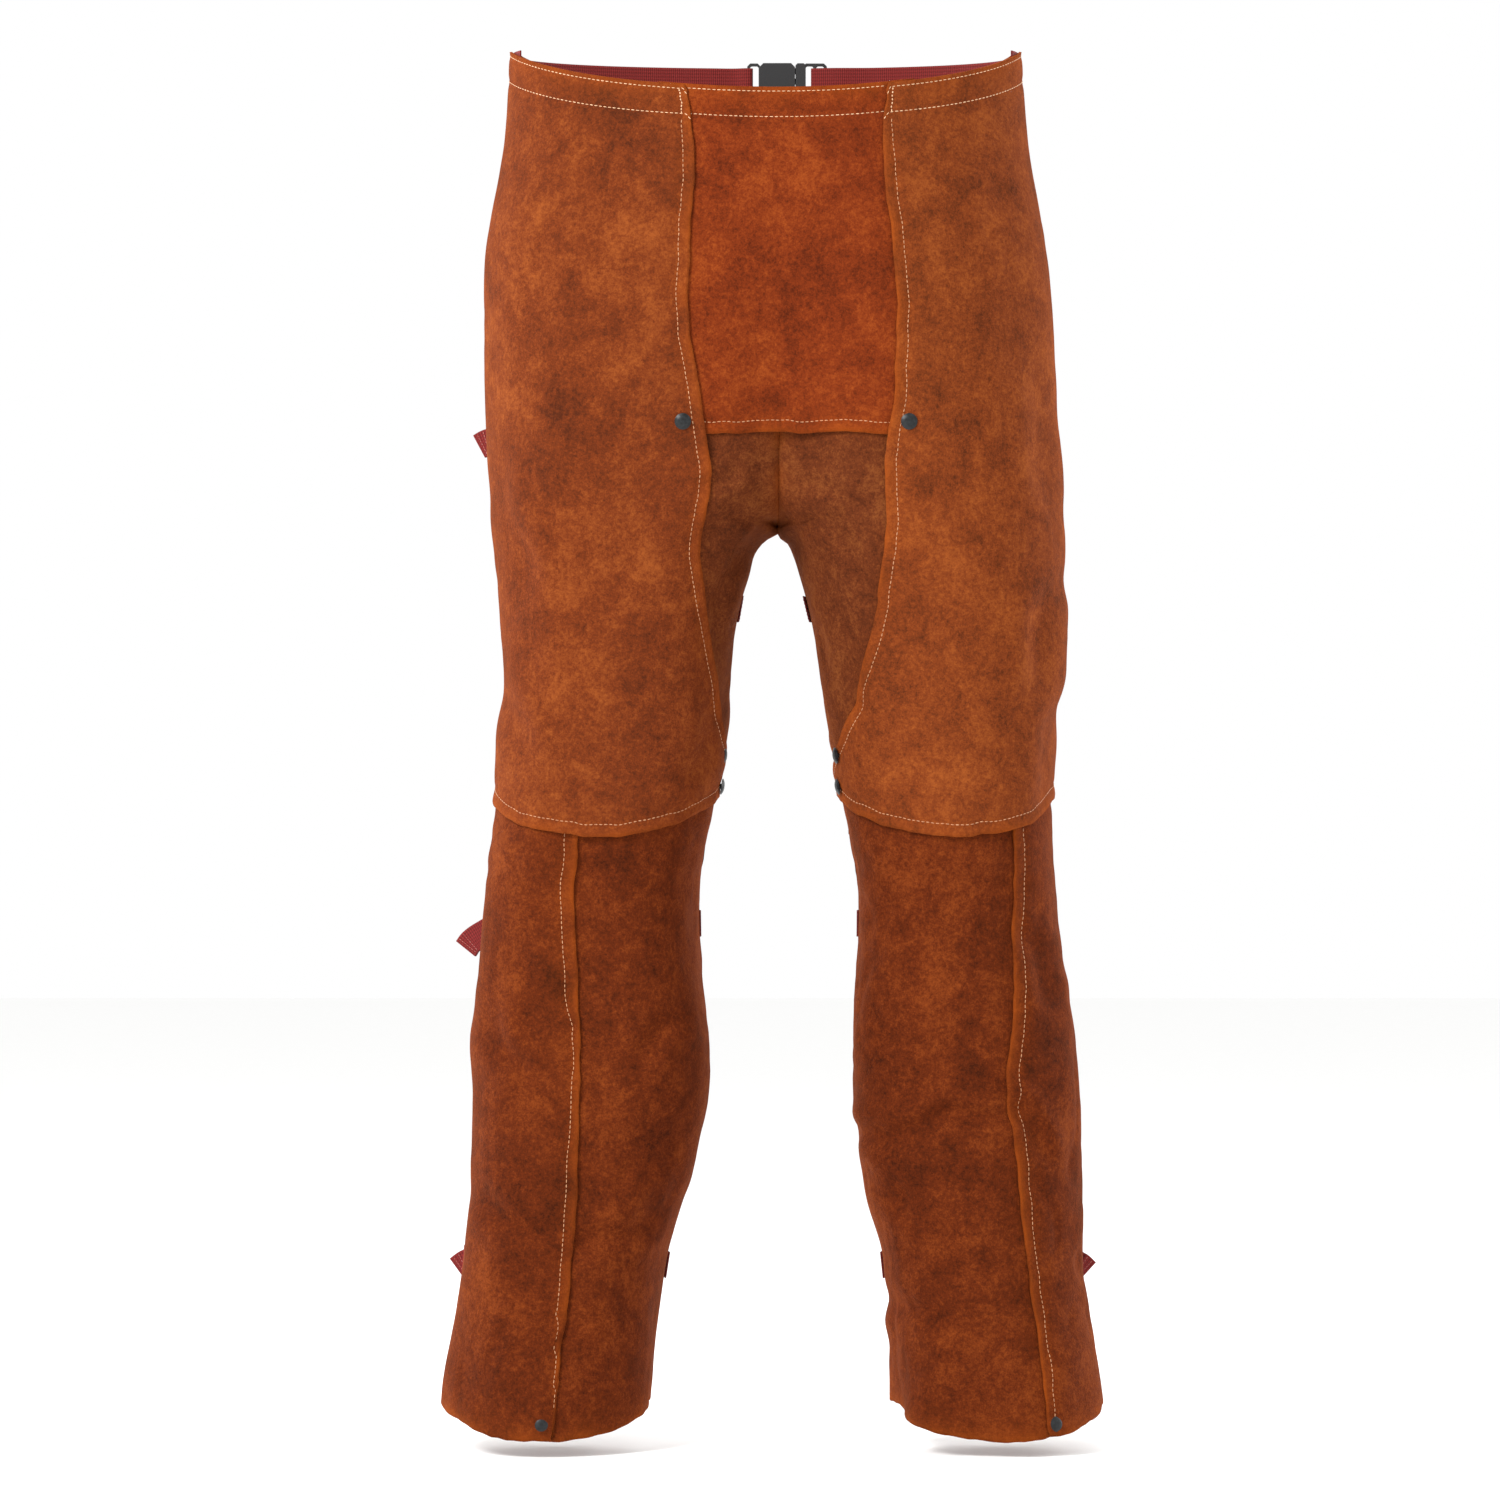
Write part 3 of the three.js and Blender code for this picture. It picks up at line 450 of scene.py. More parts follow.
def lay_out(node, side, pitch, lip, wander, upright=False):
    """The outer face of a CAD panel as a regular grid of points, from edge to edge and from top to
    bottom. lip is how far the top and the bottom edge rise and fall along their length."""
    bm = merged(node)
    tree = BVHTree.FromBMesh(bm)
    co = np.array([v.co for v in bm.verts])
    edges = np.array([[v.index for v in e.verts] for e in bm.edges])
    bm.free()
    inward = -side or 1
    ax, ay = leg_middle(side, co[:, 2])
    turn, z = np.arctan2(inward * (co[:, 0] - ax), -(co[:, 1] - ay)), co[:, 2]
    levels = np.linspace(z.min() + lip[1], z.max() - lip[0], SAMPLES)
    if upright:
        lo, hi = np.full(SAMPLES, turn.min()), np.full(SAMPLES, turn.max())
    else:
        lo, hi = np.array([crossed(z, turn, edges, level) for level in levels]).T
    turns_top = np.linspace(lo[-1] + EDGE_TURN, hi[-1] - EDGE_TURN, SAMPLES)
    turns_bottom = np.linspace(lo[0] + EDGE_TURN, hi[0] - EDGE_TURN, SAMPLES)
    z_top = np.array([crossed(turn, z, edges, t)[1] for t in turns_top])
    z_bottom = np.array([crossed(turn, z, edges, t)[0] for t in turns_bottom])
    columns = max(8, round(max((hi - lo).max() * GIRTH_RADIUS, 30 * MM) / pitch))
    rows = max(6, round((z.max() - z.min()) / pitch))
    U, V = np.meshgrid(np.linspace(0, 1, columns + 1), np.linspace(0, 1, rows + 1), indexing="ij")
    Z = z.max() + (z.min() - z.max()) * V
    for _ in range(25):  # each point's height and its place between the side edges settle together
        low, high = np.interp(Z, levels, lo), np.interp(Z, levels, hi)
        T = low + (high - low) * U
        ceiling, ground = np.interp(T, turns_top, z_top), np.interp(T, turns_bottom, z_bottom)
        Z = ceiling + (ground - ceiling) * V
    R = np.full(U.shape, np.nan)
    for i, j in np.ndindex(*U.shape):
        t = min(max(T[i, j], low[i, j] + 0.003), high[i, j] - 0.003)
        h = min(max(Z[i, j], ground[i, j] + 0.0004), ceiling[i, j] - 0.0004)
        x, y = leg_middle(side, h)
        out = Vector((inward * math.sin(t), -math.cos(t), 0))
        hit = tree.ray_cast(Vector((x, y, h)) + out * FAR_OUT, -out, FAR_OUT)
        if hit[0] is not None:
            R[i, j] = FAR_OUT - hit[3]
    for _ in range(60):  # fills the punched holes and any missed edge from their neighbours
        pad = np.pad(R, 1, constant_values=np.nan)
        around = np.stack([pad[:-2, 1:-1], pad[2:, 1:-1], pad[1:-1, :-2], pad[1:-1, 2:]])
        known = ~np.isnan(around)
        mean = np.where(known, around, 0).sum(0) / np.maximum(known.sum(0), 1)
        hole = known.any(0) & (np.isnan(R) | (R < mean - PUNCHED))
        if not hole.any():
            break
        R[hole] = mean[hole]
    R = smoothed(R, 4)
    free_end = 0.0 if "crotch" in node else 1.0
    for i, j in np.ndindex(*U.shape):  # edges cut by hand wander a little
        arc, h = T[i, j] * R[i, j], Z[i, j]
        stray = wave((arc, h, 0), 0.021, 2.2 + side) + 0.5 * wave((arc, h, 0), 0.008, 5.1)
        rim = max(0, 1 - U[i, j] * STRAY_BAND)
        rim -= free_end * max(0, 1 - (1 - U[i, j]) * STRAY_BAND)
        T[i, j] += wander * stray * rim / R[i, j]
        Z[i, j] -= wander * 1.6 * stray * max(0, 1 - (1 - V[i, j]) * STRAY_BAND) * free_end
    x, y = leg_middle(side, Z)
    P = np.stack([x + inward * R * np.sin(T), y - R * np.cos(T), Z], axis=-1)
    return P, T


def normals_of(P, side):
    """Outward unit normals of a grid of points."""
    N = unit(np.cross(np.gradient(P, axis=0), np.gradient(P, axis=1)))
    x, y = leg_middle(side, P[..., 2])
    out = (P[..., 0] - x) * N[..., 0] + (P[..., 1] - y) * N[..., 1]
    return N * (1 if np.mean(out) > 0 else -1)


def edge_runs(P):
    """How far each point is from the grid's first, last, top and bottom edge, measured on the hide."""
    across = np.linalg.norm(np.diff(P, axis=0), axis=-1)
    down = np.linalg.norm(np.diff(P, axis=1), axis=-1)
    first = np.pad(np.cumsum(across, axis=0), ((1, 0), (0, 0)))
    top = np.pad(np.cumsum(down, axis=1), ((0, 0), (1, 0)))
    return first, first[-1:] - first, top, top[:, -1:] - top


# Creases in the worn hide: side, where the fold starts and ends as (x, z), its half width, and its depth.
CREASES = [
    (1, (0.062, -0.790), (0.125, -0.772), 0.0075, 0.0050),
    (1, (0.120, -0.773), (0.178, -0.768), 0.0065, 0.0042),
    (1, (0.165, -0.752), (0.200, -0.802), 0.0060, 0.0036),
    (1, (0.066, -0.820), (0.110, -0.835), 0.0090, 0.0024),
    (1, (0.080, -0.905), (0.120, -0.925), 0.0085, 0.0030),
    (1, (0.180, -0.640), (0.206, -0.690), 0.0075, 0.0028),
    (1, (0.205, -0.380), (0.186, -0.455), 0.0090, 0.0034),
    (1, (0.210, -0.470), (0.190, -0.545), 0.0085, 0.0030),
    (1, (0.188, -0.240), (0.206, -0.330), 0.0100, 0.0026),
    (1, (0.030, -0.330), (0.070, -0.395), 0.0060, 0.0038),
    (1, (0.014, -0.305), (0.060, -0.330), 0.0055, 0.0034),
    (1, (0.045, -0.420), (0.062, -0.480), 0.0070, 0.0028),
    (-1, (-0.218, -0.835), (-0.160, -0.862), 0.0085, 0.0036),
    (-1, (-0.095, -0.850), (-0.150, -0.872), 0.0080, 0.0030),
    (-1, (-0.070, -0.700), (-0.105, -0.728), 0.0080, 0.0028),
    (-1, (-0.215, -0.700), (-0.190, -0.742), 0.0080, 0.0026),
    (-1, (-0.010, -0.318), (-0.052, -0.345), 0.0050, 0.0040),
    (-1, (-0.018, -0.345), (-0.045, -0.400), 0.0055, 0.0036),
    (-1, (-0.030, -0.300), (-0.056, -0.318), 0.0050, 0.0030),
    (-1, (-0.205, -0.300), (-0.188, -0.385), 0.0100, 0.0026),
    (-1, (-0.208, -0.430), (-0.190, -0.505), 0.0095, 0.0026),
    (-1, (-0.046, -0.470), (-0.066, -0.530), 0.0070, 0.0024),
]
CREASE_STRENGTH = 1.15


def crease_field(P, side):
    """Height of the crafted creases: a valley with a soft ridge on each side, fading at both ends."""
    total = np.zeros(P.shape[:-1])
    flat = P[..., [0, 2]]
    front = ease((0.055 - P[..., 1]) / 0.05)  # none behind the leg
    for of_side, start, end, wide, deep in CREASES:
        if side and of_side != side:
            continue
        a, b = np.array(start), np.array(end)
        run = b - a
        length = np.linalg.norm(run)
        along = (flat - a) @ run / length**2
        sideways = ((flat - a) @ np.array([-run[1], run[0]]) / length) / wide
        sideways = sideways + 0.5 * np.sin(along * 5.0 + start[0] * 90)  # no fold runs quite straight
        fade = ease((along + 0.25) / 0.45) * ease((1.25 - along) / 0.45)
        ridges = 0.75 * np.exp(-((sideways - 1.7) ** 2)) + 0.55 * np.exp(-((sideways + 1.8) ** 2))
        total += CREASE_STRENGTH * deep * fade * (ridges - np.exp(-(sideways**2)))
    return total * front


def held_points():
    """Points of all that is sewn, riveted or buckled on, near which the hide keeps its place."""
    spots = []
    for name, node in frame["nodes"].items():
        if any(word in name for word in ("tab", "rivet", "burr", "strap", "belt", "housing")):
            spots += [v.co.copy() for v in node.data.vertices][::3]  # a third of them is dense enough
    tree = KDTree(len(spots))
    for i, spot in enumerate(spots):
        tree.insert(spot, i)
    tree.balance()
    return tree


def wave(point, size, seed):
    return noise.noise(Vector(point) / size + Vector((seed, -seed, seed / 2)))


def drape(P, T, side, depth, held_at):
    """Moves a laid-out grid off its smooth shape by slack, creases and fluted hems, which are one field
    for every ply. The slack is worked out in millimetres; depth scales the whole."""
    N = normals_of(P, side)
    field = np.zeros(P.shape[:-1])
    for i, j in np.ndindex(*field.shape):
        p = P[i, j]
        # 0 to 1: the shins, and the inside of the legs below the fork, bunch more than the thighs
        low = float(ease((-p[2] - 0.50) / 0.12))
        inner = float(ease((0.075 - abs(p[0])) / 0.03) * ease((-p[2] - 0.27) / 0.03))
        bunched = max(low, inner)
        # broad swells, longer than wide, and smaller ones on them
        slack = wave((p[0], p[1], p[2] * 0.5), 0.085, 3.1) * (3.4 + 2.2 * low)
        slack += wave((p[0], p[1], p[2] * (0.7 + 0.8 * low)), 0.040, 7.7) * (1.0 + 1.6 * bunched)
        # valleys along the lines where a wave passes through zero, in patches
        where = min(max(0.45 + 1.7 * wave(p, 0.12, 5.3), 0), 1) * (0.35 + 0.65 * bunched)
        for size, seed, deep in ((0.066, 21.7, 2.9), (0.040, 31.3, 1.8)):
            line = abs(wave((p[0], p[1], p[2] * 1.5), size, seed))
            slack -= deep * where * max(0, 1 - line * 6) ** 2
        slack += wave(p, 0.0125, 11.9) * 0.3
        near = held_at.find(p)[2]
        field[i, j] = slack * MM * (0.08 + 0.92 * float(ease((near - 0.006) / 0.04)))
    # calmer round the sides and behind, where it hangs free, and still at the waistband
    field *= 0.5 + 0.5 * ease((0.01 - P[..., 1]) / 0.06)
    below = ease((-P[..., 2] - 0.045) / 0.06)
    hem = ease((-P[..., 2] - 0.86) / 0.15)
    flutes = 2.6 * MM * hem * np.sin(5.5 * T + side * 0.8 + P[..., 2] * 9)
    field = (field * below + crease_field(P, side) + flutes) * depth
    for axis in (0, 1, 0, 1):  # hide this thick bends no tighter than this
        last = field.shape[axis]
        before = np.concatenate([field.take([0], axis), field.take(range(last - 1), axis)], axis)
        after = np.concatenate([field.take(range(1, last), axis), field.take([-1], axis)], axis)
        field = (before + 2 * field + after) / 4
    return P + N * np.clip(field, -6 * MM, 6.5 * MM)[..., None]


def joined_at_fork(P, side):
    """Brings a crotch panel's sewn edge to the centre line, where it turns in against the other."""
    edge = P[-1, :, 0]
    sewn = ease((9 * MM - np.abs(edge)) / (4 * MM))
    near = ease(1 - np.abs(P[..., 0]) / (16 * MM)) * sewn
    P[..., 0] += (-side * 0.6 * MM - edge) * near
    P[..., 1] += 2.2 * MM * sewn * np.exp(-((P[..., 0] / (2.6 * MM)) ** 2))
    return P


class ApronHide(bpy.types.PropertyGroup):
    thickness: length_setting(
        "Hide thickness", "Thickness of the split hide", 1.7 * MM, min=1.0 * MM, max=2.2 * MM
    )
    pitch: length_setting("Grid pitch", "Spacing of the mesh over the hide", 3.6 * MM)
    fold_depth: bpy.props.FloatProperty(
        name="Fold depth",
        description="How strongly the hide folds and creases",
        default=1.0,
        min=0,
        max=1.4,
    )
    edge_wander: length_setting("Edge wander", "How far a hand-cut edge strays", 1.2 * MM)
    right_thigh: colour_setting("Right thigh", "Dye of the right thigh panel", "#682D12")
    left_thigh: colour_setting("Left thigh", "Dye of the left thigh panel", "#6F3214")
    centre: colour_setting("Centre", "Dye of the centre panel", "#6E2A0E")
    crotch: colour_setting("Crotch", "Dye of the crotch panels and the facing", "#5B2A13")
    shin: colour_setting("Shins", "Dye of the shin panels", "#58220A")


# Each panel is cut from a different part of the hide and takes the dye a little differently: its lot's
# suede, with the shade in its hollows and the shade where it is brushed.
DYE_LOTS = {
    "right_thigh": ("split_suede_light_rust", "#441E0E", "#87441C"),
    "left_thigh": ("split_suede_rust", "#46200E", "#8D481D"),
    "centre": ("split_suede_red_rust", "#481A09", "#8C4017"),
    "crotch": ("split_suede_brown_rust", "#37190B", "#78411E"),
    "shin": ("split_suede_deep_rust", "#351406", "#783713"),
}

# Each stitch row's edge (0 first, 1 last, 2 top, 3 bottom) and how far inside it the row runs.
SEAMS = {
    "thigh_seam": (1, 8.5 * MM),
    "knee_hem": (3, 9.0 * MM),
    "band_top": (2, 3.2 * MM),
    "band_low": (2, 22.0 * MM),
    "bib_hem": (3, 8.5 * MM),
    "shin_seam": (1, 10.0 * MM),
}


def hide_panels():
    """Each panel's node, side, dye lot, how much its top and bottom edges rise and fall, and what it
    hangs from."""
    yield "waistband_facing", 0, "crotch", (0, 0), "waist_belt"
    yield "centre_panel", 0, "centre", (0.012, 0.012), "waistband_facing"
    for word, side in SIDES.items():
        thigh = f"{word}_thigh_panel"
        yield thigh, side, f"{word}_thigh", (0.04, 0.036), "waistband_facing"
        yield f"{word}_crotch_panel", side, "crotch", (0.006, 0.004), thigh
        for place in ("outer", "inner"):
            yield f"{word}_{place}_shin_panel", side, "shin", (0.034, 0.026), thigh


def seams_on(node):
    """The stitch rows that run over a panel."""
    if "thigh_panel" in node:
        return "thigh_seam", "knee_hem", "band_top", "band_low"
    if node == "centre_panel":
        return "bib_hem", "band_top", "band_low"
    return ("shin_seam",) if "outer_shin" in node else ()


def seams_pressed(node, P, side):
    """Sewing draws the top ply down to the one below along each stitch row."""
    runs = edge_runs(P)
    press = np.zeros(P.shape[:-1])
    for seam in seams_on(node):
        edge, setback = SEAMS[seam]
        away = runs[edge] - setback
        press -= 0.7 * MM * np.exp(-((away / (2.6 * MM)) ** 2))
        press -= 0.35 * MM * np.exp(-((away / (7.0 * MM)) ** 2))
    return P + normals_of(P, side) * press[..., None]


def sheet_mesh(P, N, runs):
    """A bmesh grid whose points are the laid-out ones, facing outwards, with a mark near its edges that pales the
    hide: partly rubbed wear, partly a painted highlight.
    """
    columns, rows = P.shape[0] - 1, P.shape[1] - 1
    bm = bmesh.new()
    bmesh.ops.create_grid(bm, x_segments=columns, y_segments=rows, size=0.5)
    worn = bm.verts.layers.float.new("worn")
    for vert in bm.verts:
        i, j = round((vert.co.x + 0.5) * columns), round((vert.co.y + 0.5) * rows)
        vert.co = P[i, j]
        near = min(run[i, j] for run in runs)
        patch = 0.5 + 0.5 * noise.noise(Vector(P[i, j]) / 0.02)
        # the hide is painted paler near its edges, in patches: partly rubbed wear, partly a painted highlight
        # along the edges
        vert[worn] = 0.55 * math.exp(-near / 0.0035) * patch + 0.3 * math.exp(-near / 0.012) * patch
    bm.normal_update()
    middle = bm.faces[:][len(bm.faces) // 2]
    centre = middle.calc_center_median()
    at = np.unravel_index(np.argmin(((P - np.array(centre)) ** 2).sum(-1)), P.shape[:2])
    if middle.normal.dot(Vector(N[at])) < 0:
        bmesh.ops.reverse_faces(bm, faces=bm.faces)
    return bm


class APRON_OT_hide(bpy.types.Operator):
    """Lay out, drape and thicken every leather panel"""

    bl_idname = "apron.hide"
    bl_label = "Leather panels"

    def execute(self, context):
        settings = context.scene.apron_hide
        dyes = {
            lot: split_suede(suede, dark, getattr(settings, lot), light)
            for lot, (suede, dark, light) in DYE_LOTS.items()
        }
        held_at = held_points()
        for node, side, dye, lip, hangs_from in hide_panels():
            upright = node == "waistband_facing"
            P, T = lay_out(node, side, settings.pitch, lip, settings.edge_wander, upright)
            P = drape(P, T, side, settings.fold_depth, held_at)
            P = seams_pressed(node, P, side)
            if "crotch" in node:
                P = joined_at_fork(P, side)
            SHEETS[node] = P, normals_of(P, side), edge_runs(P)
            bm = sheet_mesh(*SHEETS[node])
            obj = piece(f"{node}_hide", bm, dyes[dye], "root", [node])
            thick = obj.modifiers.new("hide thickness", "SOLIDIFY")
            thick.thickness, thick.offset, thick.use_even_offset = settings.thickness, -1, False
        return {"FINISHED"}


# ---- Stitching -----------------------------------------------------------------------------
class ApronStitching(bpy.types.PropertyGroup):
    pitch: length_setting("Stitch length", "From one stitch hole to the next", 3.6 * MM)
    thread: length_setting("Thread", "Thickness of the sewing thread", 0.7 * MM)
    seam: colour_setting("Seam thread", "Colour of the thread in the seams and hems", "#CC976C")
    band: colour_setting("Band thread", "Colour of the thread in the waistband", "#E6BE96")


def row_line(node, seam, start=0.0, stop=0.0):
    """The points and normals of a panel's stitch row, which starts and stops this far inside its ends."""
    P, N, runs = SHEETS[node]
    edge, setback = SEAMS[seam]
    if edge in (0, 1):
        along = [(slice(None), j) for j in range(P.shape[1])]
    else:
        along = [(i, slice(None)) for i in range(P.shape[0])]
    points, normals = [], []
    for key in along:
        run = runs[edge][key]
        order = np.argsort(run)
        points.append([np.interp(setback, run[order], P[key][order][:, k]) for k in range(3)])
        normals.append([np.interp(setback, run[order], N[key][order][:, k]) for k in range(3)])
    points, normals = np.array(points), np.array(normals)
    reach = travelled(points)
    keep = (reach >= start) & (reach <= reach[-1] - stop)
    return points[keep], normals[keep]


def stitched(name, lines, material, settings, replaces=(), thick=1.0, pitch=None, body="root"):
    """One seam: every stitch a short spindle of thread, its two ends pulled into the hide."""
    pitch = pitch or settings.pitch
    radius = settings.thread / 2 * thick
    spindles = []
    for points, normals in lines:
        reach = travelled(points)
        count = max(1, int(reach[-1] / pitch))

        def on(at, values):
            return Vector([np.interp(at, reach, values[:, a]) for a in range(3)])

        for k in range(count):
            at = (k + 0.5) * reach[-1] / count
            run = (on(at + pitch / 2, points) - on(at - pitch / 2, points)).normalized()
            up = on(at, normals)
            up = (up - run * up.dot(run)).normalized()
            lift = radius * (0.05 + 0.1 * math.sin(k * 2.4))  # no two stitches lie quite alike
            turn = Matrix((run, run.cross(up), up)).transposed().to_4x4()
            spindle = Matrix.Translation(on(at, points) + up * lift) @ turn
            spindle @= Matrix.Rotation(math.radians(90), 4, "Y")
            spindles.append(spindle @ Matrix.Diagonal((radius, radius, pitch * 0.37, 1)))
    whole = bmesh.new()
    batch = bpy.data.meshes.new("batch")
    for first in range(0, len(spindles), 24):
        bm = bmesh.new()
        for spindle in spindles[first : first + 24]:
            bmesh.ops.create_uvsphere(bm, u_segments=6, v_segments=5, radius=1, matrix=spindle)
        bm.to_mesh(batch)
        bm.free()
        whole.from_mesh(batch)
    bpy.data.meshes.remove(batch)
    return piece(name, whole, material, body, replaces)


class APRON_OT_stitching(bpy.types.Operator):
    """Sew every seam, hem and waistband row"""

    bl_idname = "apron.stitching"
    bl_label = "Stitching"

    def execute(self, context):
        settings = context.scene.apron_stitching
        seam = thread_material("waxed_thread_tan", "#A06A44", settings.seam)
        band = thread_material("waxed_thread_cream", "#BC8E66", settings.band)
        for row in ("band_top", "band_low"):
            lines = [row_line("centre_panel", row, 19 * MM, 19 * MM)]
            lines += [row_line(f"{word}_thigh_panel", row, 4 * MM) for word in SIDES]
            stitched(f"{row}_stitches", lines, band, settings)
        for word in SIDES:
            points, normals = row_line(f"{word}_thigh_panel", "thigh_seam", 2 * MM, 12 * MM)
            tack = points[:, 2] > points[0, 2] - SEAMS["band_low"][1]
            ends = [(points[tack], normals[tack])]
            stitched(f"{word}_band_bar_tack", ends, band, settings, thick=1.5, pitch=2.4 * MM)
            rows = {
                "thigh_seam": (points[~tack], normals[~tack]),
                "knee_hem": row_line(f"{word}_thigh_panel", "knee_hem", 6 * MM, 12 * MM),
                "shin_seam": row_line(f"{word}_outer_shin_panel", "shin_seam", 12 * MM, 12 * MM),
            }
            for row, line in rows.items():
                stitched(f"{word}_{row}_stitches", [line], seam, settings)
        bib = row_line("centre_panel", "bib_hem", 18 * MM, 18 * MM)
        stitched("bib_hem_stitches", [bib], seam, settings)
        return {"FINISHED"}


# ---- Webbing -------------------------------------------------------------------------------
class ApronWebbing(bpy.types.PropertyGroup):
    thickness: length_setting("Webbing thickness", "Thickness of the elastic webbing", 1.3 * MM)
    colour: colour_setting("Webbing colour", "Colour of the elastic webbing", "#842522")


def rings_from(start, neighbours, count):
    """Sets of corner points in step after step along a ribbon from its end, or None if one of the first
    sets hasn't four."""
    rings, seen = [sorted(start)], set(start)
    while len(seen) < count:
        ahead = sorted({n for v in rings[-1] for n in neighbours[v]} - seen)
        if len(ahead) != 4:
            return rings if len(rings) > 14 else None  # the rest is a loop round a bar
        rings.append(ahead)
        seen |= set(ahead)
    return rings


def ribbon_rings(node):
    """The four corners of a webbing's CAD solid at each step along it, matched from step to step."""
    bm = merged(node)
    bm.verts.ensure_lookup_table()
    spots = np.array([v.co for v in bm.verts])
    neighbours = {v.index: [e.other_vert(v).index for e in v.link_edges] for v in bm.verts}
    rings = None
    for edge in bm.edges:
        faces = edge.link_faces
        if len(faces) == 2 and faces[0].normal.dot(faces[1].normal) > 0.9999:
            cap = {v.index for f in faces for v in f.verts}
            if len(cap) == 4:
                rings = rings_from(cap, neighbours, len(bm.verts))
        if rings:
            break
    bm.free()
    if not rings:
        raise RuntimeError(f"{node}: its corners don't come in rings of four")
    matched = [spots[rings[0]]]
    for ring in rings[1:]:
        ahead = spots[ring]
        orders = [ahead[list(p)] for p in permutations(range(4))]
        matched.append(min(orders, key=lambda o: np.linalg.norm(o - matched[-1], axis=1).sum()))
    return np.array(matched)


def middle_line(node):
    """Centre line, width direction and thickness direction of a webbing's CAD solid."""
    rings = ribbon_rings(node)
    gap = np.linalg.norm(rings[0] - rings[0][0], axis=1)
    # itself, across the thickness, across the width, across both
    a, b, c, d = (rings[:, k] for k in np.argsort(gap))
    centre, wide, thick = (a + b + c + d) / 4, (c + d - a - b) / 2, (b + d - a - c) / 2
    if np.linalg.norm(thick[0]) > np.linalg.norm(thick[-1]) * 1.2:  # the folded end comes last
        centre, wide, thick = centre[::-1], wide[::-1], thick[::-1]
    return centre, wide, thick


def refined(line, step):
    """Points at an even step along a smooth curve through the given ones, with any values they carry."""
    reach = travelled(line[:, :3])
    slope = np.gradient(line, reach, axis=0)
    at = np.linspace(0, reach[-1], max(8, round(reach[-1] / step)) + 1)
    k = np.clip(np.searchsorted(reach, at, side="right") - 1, 0, len(reach) - 2)
    h = (reach[k + 1] - reach[k])[:, None]
    t = (at - reach[k])[:, None] / h
    return (
        (2 * t**3 - 3 * t**2 + 1) * line[k]
        + (t**3 - 2 * t**2 + t) * h * slope[k]
        + (3 * t**2 - 2 * t**3) * line[k + 1]
        + (t**3 - t**2) * h * slope[k + 1]
    )


# How much further than its plain solid each free tail springs away from the leg. Two keep its line.
TAIL_FLARE = {
    "right_thigh_strap": 15 * MM,
    "right_knee_strap": 10 * MM,
    "right_ankle_strap": 7 * MM,
    "left_ankle_strap": 7 * MM,
}


def round_the_bar(node, centre, wide, thickness):
    """Carries a belt's line on round the housing's bar and back along itself, where it is sewn."""
    co = corners_of(node)
    loop = co[co[:, 0] > centre[-1, 0] + 3 * MM]
    middle = (loop.max(axis=0) + loop.min(axis=0)) / 2
    round_it = (loop[:, 1].max() - loop[:, 1].min()) / 2 - thickness / 2
    middle[2] = centre[-1, 2]
    turns = np.linspace(-90, 90, 9)
    bend = [middle + round_it * np.array([math.cos(t), math.sin(t), 0]) for t in np.radians(turns)]
    rise = thickness * 1.06
    back = [centre[k] + [0, rise, 0] for k in range(len(centre) - 1, len(centre) - 4, -1)]
    line = np.array([*centre, *bend, middle + [-3.5 * MM, rise + 0.3 * MM, 0], *back])
    return line, np.vstack([wide, np.repeat(wide[-1:], len(line) - len(wide), axis=0)])


CROSS_ROW = np.linspace(-8.5 * MM, 8.5 * MM, 5)  # places across a webbing that a cross row runs through


def webbing_piece(node, material, thickness, flare=0.0):
    """Webbing along its CAD solid: a ribbon with rounded selvedges and a folded, stitched end. Gives the
    object, and its line as centres, width directions, outward directions and distances."""
    centre, wide, thick = middle_line(node)
    if node == "right_waist_belt":
        centre, wide = round_the_bar(node, centre, wide, thickness)
    width = np.linalg.norm(wide, axis=1).mean()
    doubled = np.linalg.norm(thick, axis=1).max() > thickness * 1.35
    line = refined(np.hstack([centre, unit(wide)]), 1.6 * MM)
    centre, wide = line[:, :3], unit(line[:, 3:])
    run = travelled(centre)
    centre[:, 0] += flare * ease((run - run[-1] + 26 * MM) / (22 * MM))  # the last 26 mm spring out
    along = unit(np.gradient(centre, axis=0))
    wide = unit(wide - along * (along * wide).sum(axis=1, keepdims=True))
    up = np.cross(along, wide)
    reach = travelled(centre)
    across, steps = 10, len(centre) - 1
    bm = bmesh.new()
    bmesh.ops.create_grid(bm, x_segments=across, y_segments=steps, size=0.5)
    uv = bm.loops.layers.uv.new("cloth")
    spots = {}
    for vert in bm.verts:
        i, j = round((vert.co.x + 0.5) * across), round((vert.co.y + 0.5) * steps)
        s = (i / across - 0.5) * width * 0.985
        spots[vert] = (s, reach[j])
        vert.co = Vector(centre[j] + wide[j] * s)
    for face in bm.faces:
        for loop in face.loops:
            loop[uv].uv = spots[loop.vert]
    if doubled:
        folded = reach[-1] - 9 * MM
        far = [f for f in bm.faces if all(spots[v][1] > folded for v in f.verts)]
        for element in bmesh.ops.duplicate(bm, geom=far)["geom"]:
            if isinstance(element, bmesh.types.BMVert):
                element.co += Vector(up[-1]) * thickness * 1.02
    obj = piece(f"{node}_webbing", bm, material, None, [node])
    body = obj.modifiers.new("webbing thickness", "SOLIDIFY")
    body.thickness, body.offset = thickness * 0.96, 0
    rounded = obj.modifiers.new("selvedge", "BEVEL")
    rounded.width, rounded.segments, rounded.limit_method = 0.35 * MM, 2, "ANGLE"
    return obj, (centre, wide, up, reach)


